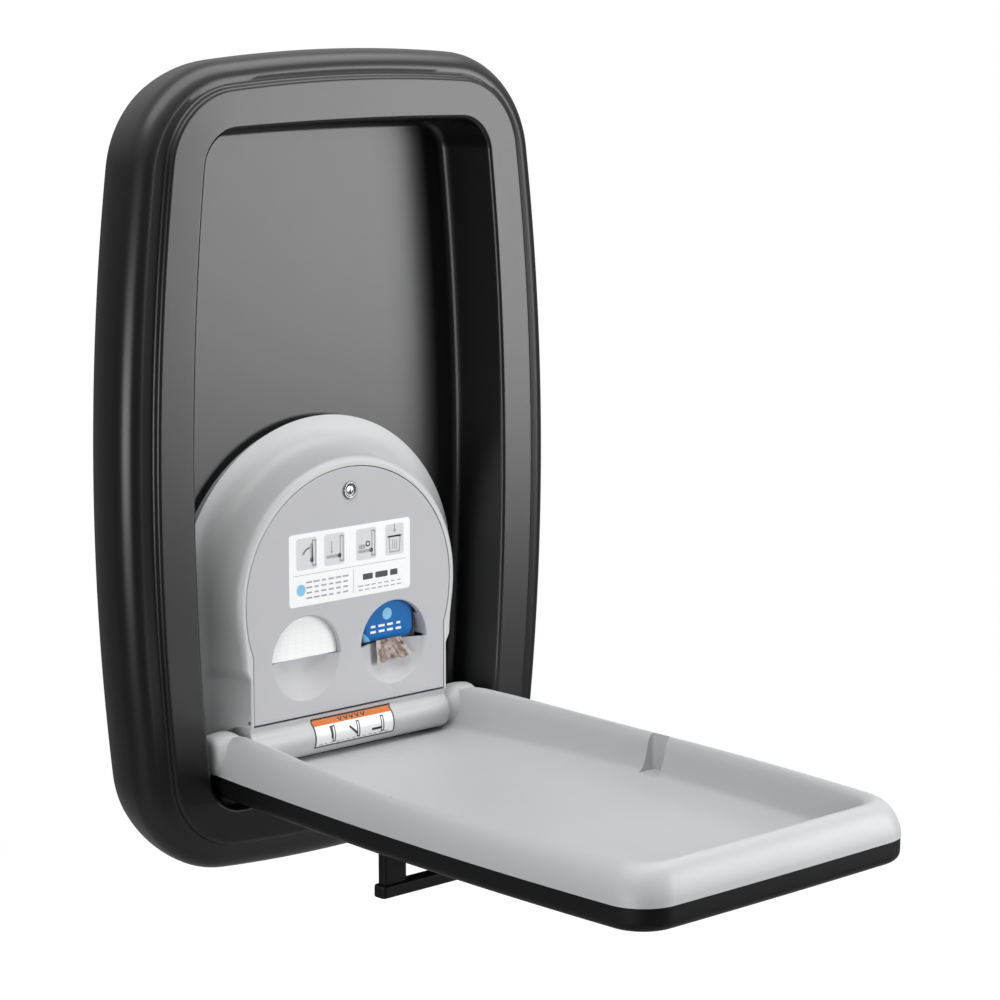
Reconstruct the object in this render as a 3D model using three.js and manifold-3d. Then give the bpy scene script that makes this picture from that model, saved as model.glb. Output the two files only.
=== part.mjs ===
import * as THREE from 'three';
import { mergeVertices } from 'three/addons/utils/BufferGeometryUtils.js';
import Module from 'manifold-3d';

const wasm = await Module();
wasm.setup();

// Upright baby changing station. Millimetres, wall face at Y = 0, user side toward -Y, Z up,
// X = 0 on the middle line, Z = 0 at mid height of the housing. The bed is folded down.

// Clearances
const SEAT = 0.3;
const RUN = 0.8;

// Housing outlines: half width, half height, middle height, corner radius, bow radii, widest above middle
const HOUSING = { w: 292, h: 429.7, middle: -2.7, r: 122, sideR: 2500, endR: 1800, widest: -28 };
const BEZEL = { w: 256.5, h: 400, middle: -1, r: 86, sideR: 2900, endR: 2000, widest: -29 };
const OPENING = { w: 213.6, h: 358, middle: 1, r: 42, sideR: 4200, endR: 4500, widest: -31 };
const HOUSING_WALL = 5;
const HOUSING_TUCK = 14.5;
const SHOULDER_R = 22;
const RIM_DEPTH = 69;
const BEZEL_DEPTH = 81;
const CAVITY_DRAFT = 4;
const PLATE_T = 3.2;
const PANEL_BACK = PLATE_T + SEAT;
const PANEL_FRONT = PANEL_BACK + HOUSING_WALL;

// Fold axis of the bed and the barrel in front of it
const AXIS = { y: -55.3, z: -301 };
const BARREL_R = 21;
const ROD_R = 6;
const EAR_X = 139.2;
const EAR_R = 21.5;

// Dispenser door and body
const DOOR = {
  face: 70.2, archZ: -147.3, w: 141.3, rise: 134.6, lowW: 132.5, kinkZ: -200, bottomZ: -274.5,
};
const DOOR_T = 3;
const DOOR_RIM = 9;
const SCOOP_T = 2.6;
const DOOR_BOTTOM_GAP = 1.8;
const DOOR_AXIS = { y: -66.7, z: -271 };
const BODY_T = 3;
const BODY_W = 136.5;
const DOME = { w: 150.8, rise: 146, drop: 74 };
const FLANGE = { r: 193, centreZ: -161, halfX: 192, bottomZ: -300 };
const HOLE = { x: 61, z: -212.7, r: 46.2, collar: 6.4, scoop: 15 };
const LOCK_Z = -38;

// Bed
const SEAM_Z = -319.1;
const BED_FRONT = -703;
const BED_SIDE = { w: 197.5, sideR: 4500, widestY: -464 };
const BRINK_SIDE = { w: 178, sideR: 2600, widestY: -344 };
const BED_HEEL = 22;
const SHELL_DROP = 21.7;
const RECESS = { y: -359, width: 26, depth: 13 };
const HANDLE = { y: -320, length: 352, depth: 17, height: 13, bottomZ: -395 };

// Gas spring and crank
const CRANK = { r: 22, x0: -16, x1: -8 };
const GAS = { y: AXIS.y + CRANK.r * 0.854, topZ: -121, bottomZ: -222, r: 9, rodR: 4 };
const PIN_R = 4;
const YOKE_WALL = 3.5;

const ALONG_X = new THREE.Matrix4().makeBasis(
  new THREE.Vector3(0, 1, 0), new THREE.Vector3(0, 0, 1), new THREE.Vector3(1, 0, 0));
const FORWARD = new THREE.Matrix4().makeBasis(
  new THREE.Vector3(1, 0, 0), new THREE.Vector3(0, 0, 1), new THREE.Vector3(0, -1, 0));
const UPWARD = new THREE.Matrix4();

// Solid helpers

function welded(geometry) {
  geometry.deleteAttribute('normal');
  geometry.deleteAttribute('uv');
  return mergeVertices(geometry, 1e-4);
}

function solid(geometry) {
  const g = welded(geometry);
  const mesh = new wasm.Mesh({
    numProp: 3,
    vertProperties: new Float32Array(g.attributes.position.array),
    triVerts: new Uint32Array(g.index.array),
  });
  return new wasm.Manifold(mesh);
}

function geometryOf(body) {
  const mesh = body.getMesh();
  const g = new THREE.BufferGeometry();
  g.setAttribute('position', new THREE.BufferAttribute(new Float32Array(mesh.vertProperties), 3));
  g.setIndex(new THREE.BufferAttribute(new Uint32Array(mesh.triVerts), 1));
  return g;
}

const join = (...bodies) => bodies.reduce((a, b) => a.add(b));
const cut = (body, ...tools) => tools.reduce((a, b) => a.subtract(b), body);

// A flat shape pushed straight from one station to another along the chosen direction.
function prism(shape, from, to, basis, curveSegments = 10) {
  const g = new THREE.ExtrudeGeometry(shape, { depth: to - from, bevelEnabled: false, curveSegments });
  g.translate(0, 0, from);
  g.applyMatrix4(basis);
  return solid(g);
}

function polygon(points) {
  return new THREE.Shape(points.map(([u, v]) => new THREE.Vector2(u, v)));
}

function rectangle(u0, u1, v0, v1, r = 0) {
  if (r === 0) {
    return polygon([[u0, v0], [u1, v0], [u1, v1], [u0, v1]]);
  }
  const s = new THREE.Shape();
  s.moveTo(u0 + r, v0);
  s.lineTo(u1 - r, v0);
  s.absarc(u1 - r, v0 + r, r, -Math.PI / 2, 0);
  s.lineTo(u1, v1 - r);
  s.absarc(u1 - r, v1 - r, r, 0, Math.PI / 2);
  s.lineTo(u0 + r, v1);
  s.absarc(u0 + r, v1 - r, r, Math.PI / 2, Math.PI);
  s.lineTo(u0, v0 + r);
  s.absarc(u0 + r, v0 + r, r, Math.PI, Math.PI * 1.5);
  return s;
}

function disc(u, v, r) {
  return new THREE.Shape().absarc(u, v, r, 0, Math.PI * 2);
}

function box(x0, x1, y0, y1, z0, z1) {
  return prism(rectangle(x0, x1, y0, y1), z0, z1, UPWARD);
}

// A turned body: profile of [radius, station] pairs around a line through (x, y, z).
function turned(profile, basis, x, y, z, segments = 32) {
  const g = new THREE.LatheGeometry(profile.map(([r, s]) => new THREE.Vector2(r, s)), segments);
  g.rotateX(Math.PI / 2);
  g.applyMatrix4(basis);
  g.translate(x, y, z);
  return outward(g);
}

// Skins a stack of closed rings with equal point counts; the first and the last ring are capped.
function loft(sections, place) {
  const n = sections[0].ring.length;
  const positions = sections.flatMap(({ ring, at }) => ring.flatMap(([u, v]) => place(u, v, at)));
  const faces = [];
  for (let i = 0; i + 1 < sections.length; i += 1) {
    for (let j = 0; j < n; j += 1) {
      const a = i * n + j;
      const b = i * n + ((j + 1) % n);
      faces.push(a, b, b + n, a, b + n, a + n);
    }
  }
  const cap = (ring, first, flip) => {
    const contour = ring.map(([u, v]) => new THREE.Vector2(u, v));
    for (const [a, b, c] of THREE.ShapeUtils.triangulateShape(contour, [])) {
      faces.push(...(flip ? [first + a, first + c, first + b] : [first + a, first + b, first + c]));
    }
  };
  cap(sections[0].ring, 0, true);
  cap(sections.at(-1).ring, (sections.length - 1) * n, false);
  const g = new THREE.BufferGeometry();
  g.setAttribute('position', new THREE.BufferAttribute(new Float32Array(positions), 3));
  g.setIndex(faces);
  return outward(g);
}

function outward(g) {
  const p = g.attributes.position;
  const index = g.index.array;
  const corner = (k) => new THREE.Vector3().fromBufferAttribute(p, index[k]);
  let volume = 0;
  for (let k = 0; k < index.length; k += 3) {
    volume += corner(k).dot(corner(k + 1).cross(corner(k + 2)));
  }
  if (volume < 0) {
    for (let k = 0; k < index.length; k += 3) {
      [index[k + 1], index[k + 2]] = [index[k + 2], index[k + 1]];
    }
  }
  return solid(g);
}

const mirrorX = (body) => outward(geometryOf(body).scale(-1, 1, 1));
const mirrorZ = (body) => outward(geometryOf(body).scale(1, 1, -1));

const onDepth = (x, z, depth) => [x, -depth, z];
const onLevel = (x, y, z) => [x, y, z];

// Outline with bowed sides and ends. The corner circles are tangent to both bows.
function bowed(spec, inset = 0, counts = { side: 8, end: 4, corner: 5 }) {
  const w = spec.w - inset;
  const h = spec.h - inset;
  const { sideR, endR, widest } = spec;
  const quarter = (sign) => {
    const r = Math.max((sign > 0 ? spec.r : spec.rLow ?? spec.r) - inset, 3);
    const side = { x: w - sideR, z: sign * widest };
    const end = { x: 0, z: h - endR };
    const a = sideR - r;
    const b = endR - r;
    const dx = end.x - side.x;
    const dz = end.z - side.z;
    const d = Math.hypot(dx, dz);
    const along = (a * a - b * b + d * d) / (2 * d);
    const off = Math.sqrt(a * a - along * along);
    const centre = {
      x: side.x + (along * dx - off * dz) / d,
      z: side.z + (along * dz + off * dx) / d,
    };
    if (centre.x < 0 || centre.z < 0) {
      centre.x = side.x + (along * dx + off * dz) / d;
      centre.z = side.z + (along * dz - off * dx) / d;
    }
    return {
      r,
      centre,
      side,
      end,
      sideAngle: Math.atan2(centre.z - side.z, centre.x - side.x),
      endAngle: Math.atan2(centre.z - end.z, centre.x - end.x),
    };
  };
  const top = quarter(1);
  const low = quarter(-1);
  const right = [];
  const arc = (c, r, from, to, steps, sign) => {
    for (let k = 0; k < steps; k += 1) {
      const t = from + ((to - from) * k) / steps;
      right.push([c.x + r * Math.cos(t), sign * (c.z + r * Math.sin(t))]);
    }
  };
  arc(low.end, endR, Math.PI / 2, low.endAngle, counts.end / 2, -1);
  arc(low.centre, low.r, low.endAngle, low.sideAngle, counts.corner, -1);
  arc(low.side, sideR, low.sideAngle, 0, counts.side / 2, -1);
  arc(top.side, sideR, 0, top.sideAngle, counts.side / 2, 1);
  arc(top.centre, top.r, top.sideAngle, top.endAngle, counts.corner, 1);
  arc(top.end, endR, top.endAngle, Math.PI / 2, counts.end / 2, 1);
  const left = right.slice(1).reverse().map(([x, z]) => [-x, z]);
  return [...right, [0, h], ...left].map(([x, z]) => [x, z + spec.middle]);
}

// Housing

const bow = (spec, inset, at) => ({ ring: bowed(spec, inset), at });

function shoulder(spec, r, start, steps) {
  return Array.from({ length: steps + 1 }, (_, k) => {
    const t = (Math.PI / 2) * (k / steps);
    return bow(spec, r * (1 - Math.cos(t)), start + r * Math.sin(t));
  });
}

const SHOULDER_DEPTH = RIM_DEPTH - SHOULDER_R;
const tuck = (k) => bow(HOUSING, HOUSING_TUCK * (1 - k) ** 2, SHOULDER_DEPTH * k);

const housingFront = [
  ...[0, 0.3, 0.65].map(tuck),
  ...shoulder(HOUSING, SHOULDER_R, SHOULDER_DEPTH, 4),
  bow(BEZEL, -1.5, RIM_DEPTH),
  bow(BEZEL, 0, RIM_DEPTH + 2),
  bow(BEZEL, 0, BEZEL_DEPTH - 4),
  bow(BEZEL, 1.2, BEZEL_DEPTH - 1.2),
  bow(BEZEL, 4, BEZEL_DEPTH),
  bow(OPENING, -5, BEZEL_DEPTH),
  bow(OPENING, -1.5, BEZEL_DEPTH - 1.5),
  bow(OPENING, 0, BEZEL_DEPTH - 5),
  bow(OPENING, CAVITY_DRAFT - 0.6, PANEL_FRONT + 9),
  bow(OPENING, CAVITY_DRAFT + 1.4, PANEL_FRONT + 4),
  bow(OPENING, CAVITY_DRAFT + 4, PANEL_FRONT + 1.2),
  bow(OPENING, CAVITY_DRAFT + 9, PANEL_FRONT),
];
const housingBack = [
  bow(OPENING, CAVITY_DRAFT + 3, PANEL_BACK),
  bow(OPENING, CAVITY_DRAFT - HOUSING_WALL, PANEL_BACK + 4),
  bow(OPENING, -HOUSING_WALL, BEZEL_DEPTH - HOUSING_WALL - 5),
  bow(OPENING, -HOUSING_WALL - 4, BEZEL_DEPTH - HOUSING_WALL),
  bow(BEZEL, HOUSING_WALL + 2, BEZEL_DEPTH - HOUSING_WALL),
  bow(BEZEL, HOUSING_WALL, RIM_DEPTH - HOUSING_WALL + 2),
  bow(HOUSING, SHOULDER_R + HOUSING_WALL - 1, RIM_DEPTH - HOUSING_WALL),
  bow(HOUSING, 2 * HOUSING_WALL + 2, RIM_DEPTH - 2 * HOUSING_WALL),
  bow(HOUSING, HOUSING_WALL, SHOULDER_DEPTH),
  bow(HOUSING, HOUSING_WALL + HOUSING_TUCK * 0.36, SHOULDER_DEPTH * 0.4),
  bow(HOUSING, HOUSING_WALL + HOUSING_TUCK, 0),
];
const housingShell = loft([...housingBack, ...housingFront], onDepth);

// Gusset ribs behind the bezel tie the outer wall to the cavity wall. Their edges end inside the walls.
const RIB_T = 4;
const halfWidthAt = (spec, z) => (
  spec.w - spec.sideR + Math.sqrt(spec.sideR ** 2 - (z - spec.middle - spec.widest) ** 2));
const halfHeightAt = (spec, x, end) => (
  spec.h + end * spec.middle - spec.endR + Math.sqrt(spec.endR ** 2 - x ** 2));

function ribShape(house, bezel, opening) {
  const half = HOUSING_WALL / 2;
  return polygon([
    [opening - CAVITY_DRAFT + half, PANEL_FRONT + 3],
    [opening + half - 1, BEZEL_DEPTH - 2 * HOUSING_WALL],
    [opening + half + 4, BEZEL_DEPTH - half],
    [bezel - half - 2, BEZEL_DEPTH - half],
    [bezel - half - 1, RIM_DEPTH - half],
    [house - SHOULDER_R - half, RIM_DEPTH - half],
    [house - HOUSING_WALL - half - 1, RIM_DEPTH - HOUSING_WALL - half - 2],
    [house - half, SHOULDER_DEPTH],
    [house - half - HOUSING_TUCK * 0.36, SHOULDER_DEPTH * 0.4],
    [house - half - HOUSING_TUCK * 0.58, SHOULDER_DEPTH * 0.24],
  ]);
}

const RIB_SIDE = new THREE.Matrix4().makeBasis(
  new THREE.Vector3(1, 0, 0), new THREE.Vector3(0, -1, 0), new THREE.Vector3(0, 0, -1));
const RIB_END = new THREE.Matrix4().makeBasis(
  new THREE.Vector3(0, 0, 1), new THREE.Vector3(0, -1, 0), new THREE.Vector3(1, 0, 0));
const outlines = [HOUSING, BEZEL, OPENING];
const sideRibs = [-225, -85, 55, 195].map((z) => prism(
  ribShape(...outlines.map((spec) => halfWidthAt(spec, z))), -z - RIB_T / 2, -z + RIB_T / 2, RIB_SIDE));
const endRibs = (end) => [-132, -44, 44, 132].map((x) => prism(
  ribShape(...outlines.map((spec) => halfHeightAt(spec, x, end))), x - RIB_T / 2, x + RIB_T / 2, RIB_END));
const ribs = join(
  ...sideRibs, ...sideRibs.map(mirrorX),
  ...endRibs(1), ...endRibs(-1).map(mirrorZ));

// Windows in the cavity back let the hinge brackets and the gas anchor reach the wall plate.
const HINGE_WINDOW = { x: 128, z0: -330, z1: -264 };
const GAS_WINDOW = { x: 25, z0: -147, z1: -95 };
const windows = [HINGE_WINDOW, GAS_WINDOW].map(({ x, z0, z1 }) => (
  prism(rectangle(-x, x, z0, z1, 5), 1, PANEL_FRONT + 1, FORWARD, 4)));
const housing = cut(join(housingShell, ribs), ...windows);

// Wall plate with screw holes

const plateShape = rectangle(-182, 182, -322, 322, 24);
for (const x of [-140, 140]) {
  for (const z of [-296, -203, 203, 296]) {
    plateShape.holes.push(new THREE.Path().absarc(x, z, 5, 0, Math.PI * 2));
  }
}
const wallPlate = prism(plateShape, 0, PLATE_T, FORWARD, 4);

// Hinge brackets and bushes

const BRACKET = { x0: 112, x1: 118, eyeR: 14, footT: 4 };
const BUSH_R = 9;

const onAxis = (r, x0, x1, segments = 8) => prism(disc(AXIS.y, AXIS.z, r), x0, x1, ALONG_X, segments);

function hingeBracket() {
  const backY = -PANEL_BACK;
  const web = polygon([
    [backY, HINGE_WINDOW.z0 + 4], [AXIS.y, AXIS.z - BRACKET.eyeR],
    [AXIS.y, AXIS.z + BRACKET.eyeR], [backY, HINGE_WINDOW.z1 - 4],
  ]);
  const plate = prism(web, BRACKET.x0, BRACKET.x1, ALONG_X);
  const foot = prism(
    rectangle(BRACKET.x0 - 24, BRACKET.x1, HINGE_WINDOW.z0 + 4, HINGE_WINDOW.z1 - 4, 3),
    PANEL_BACK, PANEL_BACK + BRACKET.footT, FORWARD, 3);
  const eye = onAxis(BRACKET.eyeR, BRACKET.x0, BRACKET.x1);
  return cut(join(plate, foot, eye), onAxis(BUSH_R + SEAT, BRACKET.x0 - 1, BRACKET.x1 + 1));
}

function hingeBush() {
  const sleeve = onAxis(BUSH_R, BRACKET.x0 - 2, BRACKET.x1 + SEAT);
  const collar = onAxis(BUSH_R + 3, BRACKET.x1 + SEAT, BRACKET.x1 + 3);
  return cut(join(sleeve, collar), onAxis(ROD_R + SEAT, BRACKET.x0 - 3, BRACKET.x1 + 4));
}

// Dispenser body: flange, dome, lower part and barrel in one moulding

const POLAR_STEPS = 48;

function polarRing(radius) {
  return Array.from({ length: POLAR_STEPS }, (_, k) => {
    const a = (2 * Math.PI * (k + 0.5)) / POLAR_STEPS;
    const r = radius(Math.cos(a), Math.sin(a));
    return [r * Math.cos(a), DOOR.archZ + r * Math.sin(a)];
  });
}

const softMin = (power, ...values) => values.reduce((sum, v) => sum + v ** -power, 0) ** (-1 / power);

function flangeRing(inset) {
  const shift = DOOR.archZ - FLANGE.centreZ;
  const R = FLANGE.r - inset;
  return polarRing((c, s) => {
    const round = -shift * s + Math.sqrt(R * R - shift * shift * c * c);
    const side = (FLANGE.halfX - inset) / Math.max(Math.abs(c), 1e-3);
    const floor = s < 0 ? (DOOR.archZ - FLANGE.bottomZ - inset) / -s : 1e4;
    return softMin(24, round, side, floor);
  });
}

function domeRing(grow) {
  const { w, rise, drop } = DOME;
  return polarRing((c, s) => {
    if (s >= 0) {
      return 1 / Math.hypot(c / (w + grow), s / (rise + grow));
    }
    return softMin(12, (w + grow) / Math.max(Math.abs(c), 1e-3), (drop + grow * 0.6) / -s);
  });
}

const BODY_BACK = PANEL_FRONT + SEAT;
const FLANGE_DEPTH = 18.4;
const flangeAt = (inset, at) => ({ ring: flangeRing(inset), at });
const domeAt = (grow, at) => ({ ring: domeRing(grow), at });

const domeOuter = loft([
  flangeAt(0, BODY_BACK),
  flangeAt(0.6, FLANGE_DEPTH - 2.4),
  flangeAt(1.4, FLANGE_DEPTH - 0.8),
  flangeAt(3.4, FLANGE_DEPTH),
  domeAt(16, FLANGE_DEPTH + 3),
  domeAt(10, FLANGE_DEPTH + 6),
  domeAt(6, FLANGE_DEPTH + 11),
  domeAt(3, FLANGE_DEPTH + 20),
  domeAt(0, DOOR.face - 8),
  domeAt(-1.2, DOOR.face - 4.4),
  domeAt(-3.6, DOOR.face - 1.4),
  domeAt(-7, DOOR.face),
], onDepth);
const domeInner = loft([
  flangeAt(BODY_T, BODY_BACK - 2),
  flangeAt(BODY_T + 0.6, FLANGE_DEPTH - BODY_T),
  domeAt(15, FLANGE_DEPTH - BODY_T + 3),
  domeAt(7, FLANGE_DEPTH + 5),
  domeAt(0, FLANGE_DEPTH + 20),
  domeAt(-BODY_T, DOOR.face - 8),
  domeAt(-BODY_T - 3.4, DOOR.face - BODY_T),
], onDepth);

// Side profile of the lower part: straight front, concave strip, barrel.
function lowerProfile(offset) {
  const front = -DOOR.face + offset;
  const stripZ = DOOR.bottomZ - DOOR_BOTTOM_GAP;
  const r = BARREL_R - offset;
  const points = [[front, DOOR.kinkZ + 6], [front, stripZ], [front + 1.8, stripZ - 2.6]];
  for (let k = 0; k <= 12; k += 1) {
    const t = ((128 + (142 * k) / 12) * Math.PI) / 180;
    points.push([AXIS.y + r * Math.cos(t), AXIS.z + r * Math.sin(t)]);
  }
  return points;
}

const lowerOuter = polygon([
  [-BODY_BACK, DOOR.kinkZ + 6], ...lowerProfile(0), [-BODY_BACK, AXIS.z - BARREL_R]]);
const lowerInner = polygon([
  [0, DOOR.kinkZ + 6], ...lowerProfile(BODY_T),
  [AXIS.y, AXIS.z - BARREL_R - 5], [0, AXIS.z - BARREL_R - 5]]);

// Outline of the door, or of its opening when grown by the running gap.
function doorShape(grow, bottom) {
  const s = new THREE.Shape();
  const low = DOOR.lowW + grow;
  s.moveTo(-low, bottom);
  s.lineTo(low, bottom);
  s.lineTo(low, DOOR.kinkZ);
  s.quadraticCurveTo(DOOR.w + grow, DOOR.kinkZ + 22, DOOR.w + grow, DOOR.archZ);
  s.absellipse(0, DOOR.archZ, DOOR.w + grow, DOOR.rise + grow, 0, Math.PI, false, 0);
  s.quadraticCurveTo(-DOOR.w - grow, DOOR.kinkZ + 22, -low, DOOR.kinkZ);
  s.closePath();
  return s;
}

const onDoorAxis = (r, x0, x1) => prism(disc(DOOR_AXIS.y, DOOR_AXIS.z, r), x0, x1, ALONG_X, 5);
const DOOR_PIN_R = 2;
const wallX = DOOR.lowW + RUN;

const lowerBody = cut(
  prism(lowerOuter, -BODY_W, BODY_W, ALONG_X),
  prism(lowerInner, -wallX, wallX, ALONG_X));

// Cheeks: hollow fillets from the side walls of the lower part down to the flange.
const CHEEK = { z0: -276, z1: -205, line: [[-2, 58], [1.5, 48], [6, 40], [13, 32], [23, 26], [35, 21.6]] };

function cheek() {
  const side = (grow, from, back) => polygon([
    [BODY_W + from, -back],
    [BODY_W + CHEEK.line.at(-1)[0] - grow, -back],
    ...CHEEK.line.filter(([out]) => out - grow >= from)
      .map(([out, depth]) => [BODY_W + out - grow, grow - depth]).reverse(),
  ]);
  const block = prism(side(0, -2, FLANGE_DEPTH - 1), CHEEK.z0, CHEEK.z1, UPWARD);
  const hollow = prism(side(BODY_T, 0.5, BODY_BACK - 2), CHEEK.z0 + BODY_T, CHEEK.z1 + 1, UPWARD);
  return [cut(block, domeInner), hollow];
}

const [cheekBlock, cheekHollow] = cheek();
const doorway = prism(
  doorShape(RUN, DOOR.bottomZ - DOOR_BOTTOM_GAP), DOOR.face - DOOR_RIM - 1, DOOR.face + 1, FORWARD, 16);
const throat = box(-wallX, wallX, -DOOR.face + BODY_T, 0, AXIS.z, DOOR.kinkZ + 20);
const dispenserBody = cut(
  join(cut(domeOuter, domeInner), cut(lowerBody, domeInner), cheekBlock, mirrorX(cheekBlock)),
  cheekHollow, mirrorX(cheekHollow),
  doorway,
  throat.intersect(join(domeInner, prism(lowerInner, -wallX, wallX, ALONG_X))),
  onAxis(ROD_R + RUN, -BODY_W - 1, BODY_W + 1),
  onDoorAxis(DOOR_PIN_R + SEAT, -BODY_W - 1, BODY_W + 1));

// Strike behind the edge of the doorway; the cam of the lock turns behind it.
const STRIKE = { z0: -11.4, z1: -8.4, back: DOOR.face - DOOR_RIM + 0.4 };
const strike = prism(
  rectangle(-13, 13, STRIKE.z0, STRIKE.z1, 1), STRIKE.back, DOOR.face - BODY_T - SEAT, FORWARD, 3);

// Gas spring: anchor on the wall plate, cylinder, and a rod whose yoke runs on the crank pin

const onGasTop = (r, x0, x1) => prism(disc(GAS.y, GAS.topZ, r), x0, x1, ALONG_X, 7);

function gasAnchor() {
  const foot = prism(
    rectangle(1 - GAS_WINDOW.x, GAS_WINDOW.x - 1, GAS_WINDOW.z0 + 1, GAS_WINDOW.z1 - 1, 4),
    PANEL_BACK, PANEL_BACK + 4, FORWARD, 3);
  const cheek = polygon([
    [-PANEL_BACK - 2, GAS.topZ - 18], [GAS.y, GAS.topZ - 9], [GAS.y - 7, GAS.topZ],
    [GAS.y, GAS.topZ + 9], [-PANEL_BACK - 2, GAS.topZ + 18]]);
  const cheekX = GAS.r + RUN;
  const cheeks = [-cheekX - 3, cheekX].map((x) => prism(cheek, x, x + 3, ALONG_X));
  return join(foot, ...cheeks, onGasTop(PIN_R, -cheekX - 1, cheekX + 1));
}

function gasCylinder() {
  const tube = turned([
    [0, GAS.topZ - 7], [GAS.r - 2, GAS.topZ - 7], [GAS.r, GAS.topZ - 12], [GAS.r, GAS.bottomZ + 2],
    [GAS.r - 1.5, GAS.bottomZ], [GAS.rodR + SEAT, GAS.bottomZ], [GAS.rodR + SEAT, GAS.topZ - 25],
    [0, GAS.topZ - 27]], UPWARD, 0, GAS.y, 0, 18);
  return cut(join(tube, onGasTop(GAS.r, -GAS.r + 2, GAS.r - 2)), onGasTop(PIN_R + SEAT, -GAS.r, GAS.r));
}

const PIN_Z = AXIS.z + CRANK.r * Math.SQRT1_2;
const PIN_Y = AXIS.y + CRANK.r * Math.SQRT1_2;

function gasRod() {
  const slotHalf = PIN_R + RUN + (CRANK.r - CRANK.r * Math.SQRT1_2) / 2;
  const slotRise = PIN_R + RUN + 0.6;
  const yokeShape = rectangle(
    GAS.y - slotHalf - YOKE_WALL, GAS.y + slotHalf + YOKE_WALL, PIN_Z - 9.5, PIN_Z + 9.5, 5);
  const slot = rectangle(GAS.y - slotHalf, GAS.y + slotHalf, PIN_Z - slotRise, PIN_Z + slotRise, 4);
  yokeShape.holes.push(slot);
  const yoke = prism(yokeShape, CRANK.x1 + 2, CRANK.x1 + 14, ALONG_X, 4);
  const rod = turned(
    [[0, PIN_Z + 8], [GAS.rodR, PIN_Z + 8], [GAS.rodR, GAS.topZ - 46], [0, GAS.topZ - 46]],
    UPWARD, 0, GAS.y, 0, 14);
  return join(yoke, rod);
}

function crankArm() {
  const arm = polygon([
    [AXIS.y - 6, AXIS.z + 8], [PIN_Y - 5, PIN_Z + 5], [PIN_Y + 5, PIN_Z - 5], [AXIS.y + 8, AXIS.z - 6]]);
  const pin = prism(disc(PIN_Y, PIN_Z, PIN_R), CRANK.x0, CRANK.x1 + 15, ALONG_X, 6);
  const body = join(
    onAxis(ROD_R + 5, CRANK.x0, CRANK.x1),
    prism(arm, CRANK.x0, CRANK.x1, ALONG_X),
    prism(disc(PIN_Y, PIN_Z, PIN_R + 3), CRANK.x0, CRANK.x1, ALONG_X, 7),
    pin);
  return cut(body, onAxis(ROD_R + SEAT, CRANK.x0 - 1, CRANK.x1 + 1));
}

// Bed: tray over shell, frame between them, arms of the frame on the hinge rod

// The outlines run past the fold axis; the tray and the shell are trimmed there.
const BED_TAIL = 60;
function bedOutline(side, front, tail, corner) {
  const middle = (front + tail) / 2;
  return {
    w: side.w, h: (tail - front) / 2, r: 14, rLow: corner, sideR: side.sideR, endR: 9000,
    widest: side.widestY - middle, middle,
  };
}
const SEAM = bedOutline(BED_SIDE, BED_FRONT, BED_TAIL, 42);
const BRINK = bedOutline(BRINK_SIDE, BED_FRONT + 28, BED_TAIL + 30, 34);
const SHELL = bedOutline(BED_SIDE, BED_FRONT, AXIS.y + BED_HEEL, 42);
const bedRing = (spec, inset, rise) => ({
  ring: bowed(spec, inset), at: SEAM_Z + rise });

const CREST = 32.9;
const trayTop = [
  bedRing(SEAM, 0, 0),
  bedRing(SEAM, 0.6, 9),
  bedRing(SEAM, 2.4, 20),
  bedRing(SEAM, 6, 28.4),
  bedRing(SEAM, 11.5, CREST),
  bedRing(BRINK, -2, CREST - 0.6),
  bedRing(BRINK, 1.6, CREST - 4.5),
  bedRing(BRINK, 4.5, CREST - 12),
  bedRing(BRINK, 8.5, 5),
  bedRing(BRINK, 13.5, -2),
  bedRing(BRINK, 24, -4),
  bedRing(BRINK, 60, -4.8),
];
const trayUnder = [
  bedRing(BRINK, 60, -8.8),
  bedRing(BRINK, 22, -8),
  bedRing(BRINK, 10, -5),
  bedRing(BRINK, 4.5, 5),
  bedRing(BRINK, 0.5, CREST - 12),
  bedRing(BRINK, -2, CREST - 5),
  bedRing(SEAM, 11.5, CREST - 4.4),
  bedRing(SEAM, 7, 23),
  bedRing(SEAM, 4.4, 9),
  bedRing(SEAM, 4, 0),
];
const traySkin = loft([...trayUnder, ...trayTop], onLevel);
const trayBlank = loft([bedRing(SEAM, 0, -9), ...trayTop], onLevel);

function earBlank(side) {
  const x0 = EAR_X;
  const x1 = 176;
  const profile = [
    [0, x0], [EAR_R - 1.5, x0], [EAR_R, x0 + 1.5], [EAR_R, x1 - 11],
    [EAR_R - 2.6, x1 - 4.5], [EAR_R - 8, x1], [0, x1]];
  const ear = turned(profile, ALONG_X, 0, AXIS.y, AXIS.z, 28);
  const above = box(x0 - 1, x1 + 1, AXIS.y - EAR_R - 1, AXIS.y + EAR_R + 1, SEAM_Z, AXIS.z + EAR_R + 1);
  const trimmed = ear.intersect(above);
  return side > 0 ? trimmed : mirrorX(trimmed);
}

const ARM = { x0: 166, x1: 171, eyeR: 12.5 };

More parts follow.
